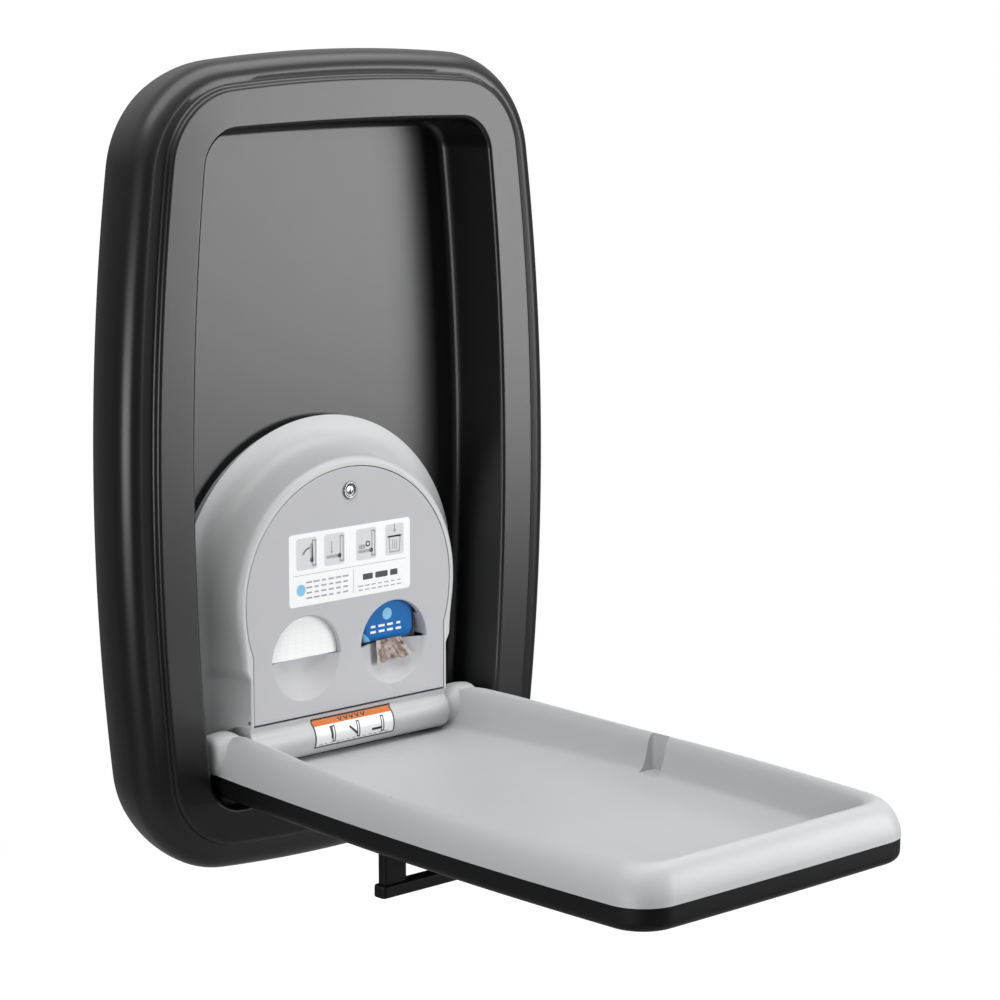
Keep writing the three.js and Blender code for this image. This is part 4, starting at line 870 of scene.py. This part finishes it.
def make_handle():
    top = HANDLE_Z + HANDLE_H
    shell_bottom = SEAM_Z - SHELL_DROP
    edge = quarter((2.2, 0), (0, 2.2), 6, "inset")
    levels = [(i, HANDLE_Z + d) for i, d in edge] + [(i, top - d) for i, d in reversed(edge)]
    bar = soft_block("handle_grip", 0, HANDLE_Y, HANDLE_L, HANDLE_D, levels)
    dress(polish(bar, 30), black_pan, "bed", ["handle_bar"])
    for side, word in ((-1, "left"), (1, "right")):
        x = side * (HANDLE_L / 2 - 19)
        foot = [(-i, z) for i, z in quarter((0, shell_bottom - 9), (2, shell_bottom - GAP), 6, "depth")]
        post = soft_block(f"handle_leg_{word}", x, HANDLE_Y, POST_L, POST_D, [(0, top + GAP), *foot])
        dress(polish(post, 30), black_pan, "bed", [f"handle_post_{word}"])


# Repeated small pieces made with node trees

def new_tree(name, inputs):
    tree = bpy.data.node_groups.new(name, "GeometryNodeTree")
    tree.interface.new_socket("Geometry", in_out="INPUT", socket_type="NodeSocketGeometry")
    for label, kind, value in inputs:
        socket = tree.interface.new_socket(label, in_out="INPUT", socket_type=kind)
        if value is not None:
            socket.default_value = value
    tree.interface.new_socket("Geometry", in_out="OUTPUT", socket_type="NodeSocketGeometry")
    return tree, tree.nodes.new("NodeGroupInput"), tree.nodes.new("NodeGroupOutput")


def run_tree(name, tree, values):
    mesh = bpy.data.meshes.new(name)
    holder = bpy.data.objects.new(name, mesh)
    bpy.context.scene.collection.objects.link(holder)
    step = holder.modifiers.new("build", "NODES")
    step.node_group = tree
    for item in tree.interface.items_tree:
        if item.in_out == "INPUT" and item.name in values:
            step[item.identifier] = values[item.name]
    return settle(holder)


def screw_head():
    """Low round head with a cross recess, standing on its own origin, head down."""
    r, h = 4.2, 2.4
    profile = [(0, 0), (r, 0), (r, 0.5)]
    profile += [(r - i, 0.5 + d) for i, d in quarter((0, 0), (2.2, h - 0.5), 5, "depth")][1:] + [(0, h)]
    head = turned("screw_head", profile, (0, 0, 0), "depth", 28)
    slots = [prism("slot", rounded(-a, a, -b, b, 0.3, 2), h - 1.2, h + 1, "depth") for a, b in ((2, 0.45), (0.45, 2))]
    return polish(cut(head, *slots), 30)


def screw_tree(head):
    tree, source, target = new_tree("screw_rows", [
        ("Rows", "NodeSocketInt", 4), ("Pitch", "NodeSocketFloat", 0.1), ("Half Span", "NodeSocketFloat", 0.1),
        ("Start", "NodeSocketVector", None), ("Material", "NodeSocketMaterial", None), ("Seed", "NodeSocketInt", 1)])
    n = tree.nodes
    reach = n.new("ShaderNodeCombineXYZ")
    link(tree, source.outputs["Pitch"], reach.inputs["Y"])
    line = n.new("GeometryNodeMeshLine")
    link(tree, source.outputs["Rows"], line.inputs["Count"])
    link(tree, source.outputs["Start"], line.inputs["Start Location"])
    link(tree, reach.outputs["Vector"], line.inputs["Offset"])
    both = n.new("GeometryNodeJoinGeometry")
    for sign in (1.0, -1.0):
        scaled = add(tree, "ShaderNodeMath", operation="MULTIPLY")
        scaled.inputs[1].default_value = sign
        link(tree, source.outputs["Half Span"], scaled.inputs[0])
        shift = n.new("ShaderNodeCombineXYZ")
        link(tree, scaled.outputs["Value"], shift.inputs["X"])
        moved = n.new("GeometryNodeTransform")
        link(tree, line.outputs["Mesh"], moved.inputs["Geometry"])
        link(tree, shift.outputs["Vector"], moved.inputs["Translation"])
        link(tree, moved.outputs["Geometry"], both.inputs["Geometry"])
    shape = n.new("GeometryNodeObjectInfo")
    shape.inputs["Object"].default_value = head
    turn = n.new("FunctionNodeRandomValue")
    turn.data_type = "FLOAT"
    turn.inputs["Max"].default_value = math.pi
    for socket in turn.inputs:
        if socket.name == "Max" and socket.type == "VALUE":
            socket.default_value = math.pi
    link(tree, source.outputs["Seed"], turn.inputs["Seed"])
    spin = n.new("ShaderNodeCombineXYZ")
    spin.inputs["X"].default_value = math.pi / 2
    link(tree, next(s for s in turn.outputs if s.type == "VALUE"), spin.inputs["Z"])
    place = n.new("GeometryNodeInstanceOnPoints")
    link(tree, both.outputs["Geometry"], place.inputs["Points"])
    link(tree, shape.outputs["Geometry"], place.inputs["Instance"])
    link(tree, spin.outputs["Vector"], place.inputs["Rotation"])
    real = n.new("GeometryNodeRealizeInstances")
    link(tree, place.outputs["Instances"], real.inputs["Geometry"])
    paint = n.new("GeometryNodeSetMaterial")
    link(tree, real.outputs["Geometry"], paint.inputs["Geometry"])
    link(tree, source.outputs["Material"], paint.inputs["Material"])
    link(tree, paint.outputs["Geometry"], target.inputs["Geometry"])
    return tree


def make_pan_screws():
    head = screw_head()
    tree = screw_tree(head)
    screws = run_tree("pan_screws", tree, {
        "Rows": 5, "Pitch": 130 * MM, "Half Span": 166 * MM, "Material": bright_steel, "Seed": 7,
        "Start": (0, -640 * MM, (SEAM_Z - SHELL_DROP - 0.1) * MM)})
    bpy.data.objects.remove(head)
    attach(screws, "bed")


def word_tree():
    tree, source, target = new_tree("word_rows", [
        ("Rows", "NodeSocketInt", 3), ("Words", "NodeSocketInt", 6), ("Width", "NodeSocketFloat", 0.05),
        ("Height", "NodeSocketFloat", 0.01), ("Bar", "NodeSocketFloat", 0.001), ("Centre", "NodeSocketVector", None),
        ("Material", "NodeSocketMaterial", None), ("Seed", "NodeSocketInt", 1)])
    n = tree.nodes
    grid = n.new("GeometryNodeMeshGrid")
    link(tree, source.outputs["Width"], grid.inputs["Size X"])
    link(tree, source.outputs["Height"], grid.inputs["Size Y"])
    link(tree, source.outputs["Words"], grid.inputs["Vertices X"])
    link(tree, source.outputs["Rows"], grid.inputs["Vertices Y"])
    pitch = add(tree, "ShaderNodeMath", operation="DIVIDE")
    link(tree, source.outputs["Width"], pitch.inputs[0])
    link(tree, source.outputs["Words"], pitch.inputs[1])
    length = n.new("FunctionNodeRandomValue")
    length.data_type = "FLOAT"
    floats = [s for s in length.inputs if s.type == "VALUE"]
    floats[0].default_value, floats[1].default_value = 0.55, 1.0
    link(tree, source.outputs["Seed"], length.inputs["Seed"])
    wide = add(tree, "ShaderNodeMath", operation="MULTIPLY")
    link(tree, next(s for s in length.outputs if s.type == "VALUE"), wide.inputs[0])
    link(tree, pitch.outputs["Value"], wide.inputs[1])
    size = n.new("ShaderNodeCombineXYZ")
    link(tree, wide.outputs["Value"], size.inputs["X"])
    link(tree, source.outputs["Bar"], size.inputs["Y"])
    size.inputs["Z"].default_value = 0.00006
    bar = n.new("GeometryNodeMeshCube")
    place = n.new("GeometryNodeInstanceOnPoints")
    link(tree, grid.outputs["Mesh"], place.inputs["Points"])
    link(tree, bar.outputs["Mesh"], place.inputs["Instance"])
    link(tree, size.outputs["Vector"], place.inputs["Scale"])
    real = n.new("GeometryNodeRealizeInstances")
    link(tree, place.outputs["Instances"], real.inputs["Geometry"])
    stand = n.new("GeometryNodeTransform")
    stand.inputs["Rotation"].default_value = (math.pi / 2, 0, 0)
    link(tree, real.outputs["Geometry"], stand.inputs["Geometry"])
    link(tree, source.outputs["Centre"], stand.inputs["Translation"])
    paint = n.new("GeometryNodeSetMaterial")
    link(tree, stand.outputs["Geometry"], paint.inputs["Geometry"])
    link(tree, source.outputs["Material"], paint.inputs["Material"])
    link(tree, paint.outputs["Geometry"], target.inputs["Geometry"])
    return tree


words = word_tree()


def word_rows(name, body, x, depth, z, width, height, rows, count, bar, material, seed):
    piece = run_tree(name, words, {
        "Rows": rows, "Words": count, "Width": width * MM, "Height": height * MM, "Bar": bar * MM, "Seed": seed,
        "Material": material, "Centre": (x * MM, -depth * MM, z * MM)})
    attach(piece, body)
    return piece


# Printed pieces

def stroke(points, width, closed=False):
    """Flat quads along a line of 2-D points."""
    p = np.asarray(points, float)
    pairs = list(zip(p, np.roll(p, -1, 0) if closed else p[1:]))
    quads = []
    for a, b in pairs:
        d = (b - a) / max(np.linalg.norm(b - a), 1e-9)
        side = np.array((-d[1], d[0])) * width / 2
        a, b = a - d * width * 0.35, b + d * width * 0.35
        quads.append(np.array([a - side, b - side, b + side, a + side]))
    return quads


def flat_print(name, outlines, place, thick):
    """One closed thin print made of many flat outlines."""
    points, faces = [], []
    for outline in outlines:
        first, n = len(points), len(outline)
        low, high = place(np.asarray(outline, float), 0.0), place(np.asarray(outline, float), thick)
        points.extend([*low, *high])
        faces.append(tuple(first + j for j in reversed(range(n))))
        faces.append(tuple(first + n + j for j in range(n)))
        faces.extend((first + j, first + (j + 1) % n, first + n + (j + 1) % n, first + n + j) for j in range(n))
    return new_piece(name, points, faces)


def on_door(depth):
    return lambda p, rise: np.stack([p[:, 0], np.full(len(p), -depth - rise), p[:, 1]], -1)


LABEL_W, LABEL_Z0, LABEL_Z1 = 84, -155, -77
LABEL_DEPTH = FACE + 0.05


def station_sign(x, z, tilt):
    """Side view of a wall unit with its bed at the given tilt."""
    a = math.radians(tilt)
    tip = (x - 1 - 17 * math.cos(a), z - 8 + 17 * math.sin(a))
    return (stroke([(x, z - 14), (x, z + 13), (x + 4, z + 13), (x + 4, z - 14)], 1.5, True)
            + stroke([(x - 1, z - 8), tip], 3.4) + stroke(circle(x - 1, z - 8, 1.8, 14), 1.3, True))


def arrow(points, width=1.5, head=3.4):
    p = np.asarray(points, float)
    d = (p[-1] - p[-2]) / np.linalg.norm(p[-1] - p[-2])
    side = np.array((-d[1], d[0]))
    return stroke(p, width) + [np.array([p[-1] + d * head, p[-1] - side * head * 0.7, p[-1] + side * head * 0.7])]


def make_label():
    plate = rounded(-LABEL_W, LABEL_W, LABEL_Z0, LABEL_Z1, 4, 8)
    label = flat_print("door_label", [plate], on_door(LABEL_DEPTH), 0.12)
    dress(label, label_white, "door")
    z = -98.5
    swing = lambda x, a0, a1: np.stack([x - 1 - 14 * np.cos(np.radians(np.linspace(a0, a1, 9))),
                                        z - 8 + 14 * np.sin(np.radians(np.linspace(a0, a1, 9)))], -1)
    shapes = station_sign(-52, z, 88) + arrow(swing(-52, 78, 38))
    shapes += station_sign(-14, z, 0) + arrow([(-26, z + 8), (-26, z - 2)])
    shapes += station_sign(30, z, 0) + stroke(circle(24.5, z - 0.5, 2.6, 20), 1.3, True)
    shapes += [rounded(11.5, 21, z - 5.4, z - 0.6, 2.2, 5)]
    bin_x = 62
    shapes += stroke([(bin_x - 8, z + 3), (bin_x - 6.5, z - 14), (bin_x + 6.5, z - 14), (bin_x + 8, z + 3)], 1.5, True)
    shapes += stroke([(bin_x - 9.5, z + 3), (bin_x + 9.5, z + 3)], 2.4) + arrow([(bin_x, z + 16), (bin_x, z + 10)], 1.7)
    for k in (-3, 0, 3):
        shapes += stroke([(bin_x + k, z - 1), (bin_x + k * 0.9, z - 11)], 1.1)
    lines = flat_print("label_signs", shapes, on_door(LABEL_DEPTH + 0.13), 0.06)
    dress(lines, ink_grey, "door")
    tint = [rounded(x - 18, x + 10, z - 17.5, z + 16.5, 3, 5) for x in (-56, -18, 26)]
    tint += [rounded(bin_x - 13, bin_x + 13, z - 17.5, z + 16.5, 3, 5)]
    dress(flat_print("label_frames", tint, on_door(LABEL_DEPTH + 0.125), 0.004), ink_pale, "door")
    rule = stroke([(-78, -121.5), (78, -121.5)], 0.5) + stroke([(4, -125), (4, -150)], 0.6)
    dress(flat_print("label_rules", rule, on_door(LABEL_DEPTH + 0.13), 0.05), ink_grey, "door")
    depth = LABEL_DEPTH + 0.16
    word_rows("label_words_left", "door", -32, depth, -138.5, 50, 17, 4, 6, 1.9, ink_grey, 3)
    word_rows("label_words_right", "door", 41, depth, -146.5, 54, 4.4, 2, 7, 1.3, ink_grey, 5)
    title = [rounded(x0, x1, -138, -131.5, 1.2, 4) for x0, x1 in ((17, 31), (34.5, 52), (55.5, 66))]
    dress(flat_print("label_title", title, on_door(LABEL_DEPTH + 0.13), 0.05), ink_dark, "door")
    spot = [circle(-68, -137.5, 6.2, 32)]
    dress(flat_print("label_spot", spot, on_door(LABEL_DEPTH + 0.13), 0.05), ink_cyan, "door")


def barrel_place(offset):
    """Places strip prints on the curved front: u across, v down along the side line from the door gap."""
    line = np.array(lower_profile(0)[1:])
    step = np.concatenate([[0], np.cumsum(np.linalg.norm(np.diff(line, axis=0), axis=1))])
    tangent = np.gradient(line, axis=0)
    tangent /= np.linalg.norm(tangent, axis=1)[:, None]
    normal = np.stack([tangent[:, 1], -tangent[:, 0]], -1)

    def place(p, rise):
        v = p[:, 1]
        at = np.stack([np.interp(v, step, line[:, k]) for k in (0, 1)], -1)
        out = np.stack([np.interp(v, step, normal[:, k]) for k in (0, 1)], -1)
        at = at + out * (offset + rise)
        return np.stack([p[:, 0], at[:, 0], at[:, 1]], -1)
    return place


def traced(points, closed=False, step=1.2):
    """The same line with points close enough to follow the curved front."""
    p = np.asarray(points, float)
    made = []
    for a, b in zip(p, np.roll(p, -1, 0) if closed else p[1:]):
        count = max(int(np.linalg.norm(b - a) / step), 1)
        made += [a + (b - a) * k / count for k in range(count)]
    return np.array(made if closed else [*made, p[-1]])


def curved_print(name, x0, x1, v0, v1, offset, thick, steps=24):
    """A strip that follows the curved front, made as a closed thin slab."""
    place = barrel_place(offset)
    rings = []
    for v in np.linspace(v0, v1, steps):
        edge = np.array([(x0, v), (x1, v)])
        low, high = place(edge, 0.0), place(edge, thick)
        rings.append(np.array([low[0], low[1], high[1], high[0]]))
    return skin(name, rings)


def make_strip():
    w, v0, v1, edge = 55.6, 4.5, 38.5, 1.9
    dress(curved_print("strip_edge", -w, w, v0, v1, 0.06, 0.08), ink_dark, "station")
    dress(curved_print("strip_paper", -w + edge, w - edge, v0 + edge, v1 - edge, 0.15, 0.05), label_white, "station")
    dress(curved_print("strip_band", -w + edge, w - edge, v0 + edge, v0 + 9.6, 0.21, 0.04, 10), ink_amber, "station")
    place = barrel_place(0.26)
    marks = []
    for k in range(5):
        x = -16 + 8 * k
        marks += stroke(traced([(x - 2.4, v0 + 3.4), (x, v0 + 7.6), (x + 2.4, v0 + 3.4)]), 1.5)
    dress(flat_print("strip_chevrons", marks, place, 0.04), ink_dark, "station")
    signs = []
    for k, tilt in enumerate((86, 42, 0)):
        x, v = -38 + 34 * k, v0 + 21
        a = math.radians(tilt)
        frame_line = [(x + 7, v - 8.5), (x + 7, v + 8), (x + 10, v + 8), (x + 10, v - 8.5)]
        signs += stroke(traced(frame_line, True), 1.3, True)
        bed_line = [(x + 6, v + 4), (x + 6 - 12 * math.cos(a), v + 4 - 12 * math.sin(a))]
        signs += stroke(traced(bed_line), 2.6)
    dress(flat_print("strip_signs", signs, place, 0.04), ink_dark, "station")
    rows = []
    for r in range(2):
        for k in range(13):
            x, v = -50 + 7.6 * k + (r * 2), v0 + 29.6 + r * 1.9
            long = 5.8 - (k * 5 + r) % 3
            rows.append(np.array([(x, v), (x + long, v), (x + long, v + 0.9), (x, v + 0.9)]))
    dress(flat_print("strip_words", rows, place, 0.03), ink_grey, "station")


# Papers and films

def folded_tree():
    tree, source, target = new_tree("folded_sheets", [
        ("Sheets", "NodeSocketInt", 10), ("Pitch", "NodeSocketFloat", 0.003), ("Start", "NodeSocketVector", None),
        ("Size", "NodeSocketVector", None), ("Material", "NodeSocketMaterial", None), ("Seed", "NodeSocketInt", 1)])
    n = tree.nodes
    reach = n.new("ShaderNodeCombineXYZ")
    link(tree, source.outputs["Pitch"], reach.inputs["Y"])
    line = n.new("GeometryNodeMeshLine")
    link(tree, source.outputs["Sheets"], line.inputs["Count"])
    link(tree, source.outputs["Start"], line.inputs["Start Location"])
    link(tree, reach.outputs["Vector"], line.inputs["Offset"])
    outline = n.new("GeometryNodeCurvePrimitiveQuadrilateral")
    parts = n.new("ShaderNodeSeparateXYZ")
    link(tree, source.outputs["Size"], parts.inputs["Vector"])
    link(tree, parts.outputs["X"], outline.inputs["Width"])
    link(tree, parts.outputs["Z"], outline.inputs["Height"])
    corner = n.new("GeometryNodeFilletCurve")
    corner.inputs["Radius"].default_value = 0.004
    for socket in corner.inputs:
        if socket.name == "Count":
            socket.default_value = 4
    if hasattr(corner, "mode"):
        corner.mode = "POLY"
    link(tree, outline.outputs["Curve"], corner.inputs["Curve"])
    fill = n.new("GeometryNodeFillCurve")
    link(tree, corner.outputs["Curve"], fill.inputs["Curve"])
    thick = n.new("GeometryNodeExtrudeMesh")
    link(tree, fill.outputs["Mesh"], thick.inputs["Mesh"])
    link(tree, parts.outputs["Y"], thick.inputs["Offset Scale"])
    thick.inputs["Individual"].default_value = False
    closed = n.new("GeometryNodeFlipFaces")
    link(tree, fill.outputs["Mesh"], closed.inputs["Mesh"])
    whole = n.new("GeometryNodeJoinGeometry")
    link(tree, thick.outputs["Mesh"], whole.inputs["Geometry"])
    link(tree, closed.outputs["Mesh"], whole.inputs["Geometry"])
    merged = n.new("GeometryNodeMergeByDistance")
    merged.inputs["Distance"].default_value = 1e-6
    link(tree, whole.outputs["Geometry"], merged.inputs["Geometry"])
    stand = n.new("GeometryNodeTransform")
    stand.inputs["Rotation"].default_value = (math.pi / 2, 0, 0)
    link(tree, merged.outputs["Geometry"], stand.inputs["Geometry"])
    sway = n.new("FunctionNodeRandomValue")
    sway.data_type = "FLOAT_VECTOR"
    vectors = [s for s in sway.inputs if s.type == "VECTOR"]
    vectors[0].default_value, vectors[1].default_value = (0.985, 1, 0.988), (1, 1, 1)
    link(tree, source.outputs["Seed"], sway.inputs["Seed"])
    place = n.new("GeometryNodeInstanceOnPoints")
    link(tree, line.outputs["Mesh"], place.inputs["Points"])
    link(tree, stand.outputs["Geometry"], place.inputs["Instance"])
    link(tree, next(s for s in sway.outputs if s.type == "VECTOR"), place.inputs["Scale"])
    real = n.new("GeometryNodeRealizeInstances")
    link(tree, place.outputs["Instances"], real.inputs["Geometry"])
    paint = n.new("GeometryNodeSetMaterial")
    link(tree, real.outputs["Geometry"], paint.inputs["Geometry"])
    link(tree, source.outputs["Material"], paint.inputs["Material"])
    link(tree, paint.outputs["Geometry"], target.inputs["Geometry"])
    return tree


def cloth_piece(name, grid, thick):
    """Thin closed sheet over a grid of points."""
    rows, columns = grid.shape[:2]
    index = np.arange(rows * columns).reshape(rows, columns)
    faces = [(int(index[i, j]), int(index[i, j + 1]), int(index[i + 1, j + 1]), int(index[i + 1, j]))
             for i in range(rows - 1) for j in range(columns - 1)]
    sheet = new_piece(name, grid.reshape(-1, 3), faces)
    body = sheet.modifiers.new("thickness", "SOLIDIFY")
    body.thickness = thick * MM
    body.offset = 0
    return polish(settle(sheet), 60)


def make_liners():
    z0, z1 = HOLE_Z + 2 * GAP, -136
    count = 11
    pitch = (PACK_FRONT - 0.6 - PACK_BACK) / count
    stack = run_tree("liner_sheets", folded_tree(), {
        "Sheets": count, "Pitch": -pitch * MM, "Size": (86 * MM, (pitch - 0.25) * MM, (z1 - z0) * MM),
        "Start": (-HOLE_X * MM, -PACK_BACK * MM, (z0 + z1) / 2 * MM), "Material": paper, "Seed": 4})
    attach(stack, "door")
    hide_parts("liner_stack")
    r = 45.4
    a, v = np.meshgrid(np.linspace(0, math.pi, 97), np.linspace(0, 1, 41))
    x, up = r * np.cos(a), r * np.sin(a) * v
    wave = 0.35 * np.sin(x * 0.21 + 0.6) + 0.2 * np.sin(x * 0.55)
    depth = PACK_FRONT + 0.75 + wave * 0.6 * (1 - v) + 0.6 * (1 - v) ** 3
    sheet = np.stack([-HOLE_X + x, -depth, HOLE_Z + 0.8 + up + 0.3 * wave * (1 - v)], -1)
    tongue = cloth_piece("liner_front", sheet, 0.4)
    dress(tongue, paper, "liner", ["liner_tongue"])


def make_bags():
    thick = PACK_FRONT - PACK_BACK - 0.4
    x0, x1, z0, z1 = HOLE_X - 41, HOLE_X + 36, HOLE_Z + 2 * GAP, -134
    rings = []
    for inset, depth in ([(i, d) for i, d in quarter((8, 0), (0, 9), 8, "inset")]
                         + [(i, thick - d) for i, d in reversed(quarter((8, 0), (0, 9), 8, "inset"))]):
        u, v = rounded(x0 + inset, x1 - inset, z0 + inset, z1 - inset, max(10 - inset, 3), 12).T
        rings.append(on_depth(u, v, PACK_BACK + depth))
    pack = skin("bag_bundle", rings)
    polish(pack, 60)
    dress(pack, blue_film, "door", ["bag_pack"])
    front = PACK_FRONT - 0.35
    word_rows("pack_words", "door", HOLE_X - 6, front, HOLE_Z + 16, 36, 6, 2, 4, 2.6, label_white, 11)
    spot = [circle(HOLE_X - 4, HOLE_Z + 31, 6.5, 36)]
    dress(flat_print("pack_spot", spot, on_door(front), 0.1), ink_cyan, "door")
    rng = np.random.default_rng(5)
    rows, columns = 56, 84
    t, v = np.meshgrid(np.linspace(-1, 1, columns + 1), np.linspace(0, 1, rows + 1))
    crumple = np.zeros_like(t)
    for slope, t0, v0, height in zip(rng.uniform(0, math.pi, 13), rng.uniform(-0.9, 0.9, 13),
                                     rng.uniform(0, 1, 13), rng.uniform(0.5, 1.1, 13)):
        crumple += height * np.abs(math.cos(slope) * (t - t0) * 1.4 + math.sin(slope) * (v - v0))
    for slope, pitch, phase in zip(rng.uniform(0, math.pi, 5), rng.uniform(0.25, 0.5, 5), rng.uniform(0, 6.28, 5)):
        crumple += 0.7 * np.abs(np.sin(pitch * (22 * t * math.cos(slope) + 23 * v * math.sin(slope)) + phase))
    crumple = (crumple - crumple.mean()) * 1.2
    wave = rng.uniform(0, 6.28, 3)
    left, right = 40 - 2.5 * v, 75 + 13 * v ** 1.3
    x = (left + right) / 2 + (right - left) / 2 * t + 0.6 * np.sin(9 * v + wave[0]) * v
    ragged = 0.9 * np.sin(6 * t + wave[1]) + 0.6 * np.sin(13 * t + wave[2])
    z = HOLE_Z + 3.5 - (23 + ragged) * v + 2.2 * t * v
    depth = PACK_FRONT + 0.5 + 3.2 * v ** 1.3 + np.clip(crumple, -1.7, 1.7) * (0.35 + 1.1 * v)
    tail = cloth_piece("bag_end", np.stack([x, -depth, z], -1), 0.22)
    dress(tail, brown_film, "bag", ["bag_tail"])


# Finishes of the parts that keep their own shape

def dress_parts():
    kept = {
        "wall_plate": steel, "hinge_bracket_right": steel, "hinge_bracket_left": steel,
        "hinge_bush_right": nylon, "hinge_bush_left": nylon, "lock_strike": steel, "gas_anchor": steel,
        "gas_cylinder": black_paint, "gas_rod": bright_steel, "stop_pad_right": rubber, "stop_pad_left": rubber,
        "bed_frame": steel, "hinge_rod": bright_steel, "crank_arm": steel, "door_pin_right": bright_steel,
        "door_pin_left": bright_steel, "lock_cam": bright_steel, "liner_pocket": pocket_grey,
        "bag_pocket": pocket_grey,
    }
    for name, material in kept.items():
        nodes[name].data.materials.clear()
        nodes[name].data.materials.append(material)


# Stage

def make_stage():
    scene = bpy.context.scene
    scene.view_settings.view_transform = "Standard"
    world = bpy.data.worlds.new("studio")
    scene.world = world
    world.use_nodes = True
    tree = world.node_tree
    out = tree.nodes["World Output"]
    fill = tree.nodes["Background"]
    fill.inputs["Color"].default_value = (0.97, 0.98, 1, 1)
    white = add(tree, "ShaderNodeBackground", Strength=1.0)
    white.inputs["Color"].default_value = (1, 1, 1, 1)
    ray = add(tree, "ShaderNodeLightPath")
    sky = add(tree, "ShaderNodeTexCoord")
    axes = add(tree, "ShaderNodeSeparateXYZ")
    link(tree, sky.outputs["Generated"], axes.inputs["Vector"])
    link(tree, spread(tree, axes.outputs["Y"], -0.6, 0.4, 0.08, 0.18), fill.inputs["Strength"])
    height = spread(tree, axes.outputs["Z"], 0.05, 0.6, 0, 1)
    mirror = add(tree, "ShaderNodeMath", operation="MAXIMUM")
    link(tree, ray.outputs["Is Glossy Ray"], mirror.inputs[0])
    link(tree, ray.outputs["Is Transmission Ray"], mirror.inputs[1])
    graded = add(tree, "ShaderNodeMath", operation="MULTIPLY")
    link(tree, mirror.outputs["Value"], graded.inputs[0])
    link(tree, height, graded.inputs[1])
    seen = add(tree, "ShaderNodeMath", operation="MAXIMUM")
    link(tree, ray.outputs["Is Camera Ray"], seen.inputs[0])
    link(tree, graded.outputs["Value"], seen.inputs[1])
    mix = add(tree, "ShaderNodeMixShader")
    link(tree, seen.outputs["Value"], mix.inputs["Fac"])
    link(tree, fill.outputs["Background"], mix.inputs[1])
    link(tree, white.outputs["Background"], mix.inputs[2])
    link(tree, mix.outputs["Shader"], out.inputs["Surface"])

    reach = 2600
    floor = new_piece("floor", [(-reach, -reach, -980), (reach, -reach, -980), (reach, reach, -980),
                                (-reach, reach, -980)], [(0, 1, 2, 3)])
    material, tree, shader = start_material("floor_white")
    shader.inputs["Base Color"].default_value = (0.5, 0.5, 0.5, 1)
    shader.inputs["Roughness"].default_value = 0.9
    shader.inputs["Specular IOR Level"].default_value = 0.1
    glow = add(tree, "ShaderNodeEmission", Strength=0.75)
    lit = add(tree, "ShaderNodeAddShader")
    link(tree, shader.outputs["BSDF"], lit.inputs[0])
    link(tree, glow.outputs["Emission"], lit.inputs[1])
    ray = add(tree, "ShaderNodeLightPath")
    near = add(tree, "ShaderNodeMixShader")
    link(tree, ray.outputs["Is Camera Ray"], near.inputs["Fac"])
    link(tree, shader.outputs["BSDF"], near.inputs[1])
    link(tree, lit.outputs["Shader"], near.inputs[2])
    clear = add(tree, "ShaderNodeBsdfTransparent")
    where = add(tree, "ShaderNodeTexCoord")
    reach_out = add(tree, "ShaderNodeVectorMath", operation="LENGTH")
    link(tree, where.outputs["Object"], reach_out.inputs[0])
    fade = add(tree, "ShaderNodeMixShader")
    link(tree, spread(tree, reach_out.outputs["Value"], 1.25, 2.4, 0, 1), fade.inputs["Fac"])
    link(tree, near.outputs["Shader"], fade.inputs[1])
    link(tree, clear.outputs["BSDF"], fade.inputs[2])
    link(tree, fade.outputs["Shader"], tree.nodes["Material Output"].inputs["Surface"])
    floor.data.materials.append(material)

    def softbox(name, place, aim, width, height, power):
        lamp = bpy.data.lights.new(name, "AREA")
        lamp.shape = "RECTANGLE"
        lamp.size, lamp.size_y, lamp.energy = width, height, power
        holder = bpy.data.objects.new(name, lamp)
        holder.location = place
        holder.rotation_euler = (Vector(aim) - Vector(place)).to_track_quat("-Z", "Y").to_euler()
        scene.collection.objects.link(holder)

    softbox("key_right", (2.05, -2.3, 0.3), (0, 0, 0.12), 1.7, 1.7, 68)
    softbox("top", (-0.05, -0.62, 2.2), (-0.05, -0.5, -0.3), 4.2, 1.5, 68)
    softbox("left", (-2.2, -1.15, -0.18), (0, -0.3, -0.25), 1.4, 0.5, 18)

    camera = bpy.data.cameras.new("camera")
    camera.lens, camera.sensor_width = 114.41, 36
    camera.clip_start, camera.clip_end = 0.05, 60
    holder = bpy.data.objects.new("camera", camera)
    holder.location = (-2.1322, -2.6337, 0.55)
    holder.rotation_euler = (math.radians(79.81), 0, math.radians(-42.5))
    scene.collection.objects.link(holder)
    scene.camera = holder


make_stage()
dress_parts()
make_housing()
make_ribs()
make_dispenser()
make_door()
make_lock()
make_tray()
make_pan()
make_handle()
make_pan_screws()
make_label()
make_strip()
make_liners()
make_bags()

bpy.context.view_layer.update()
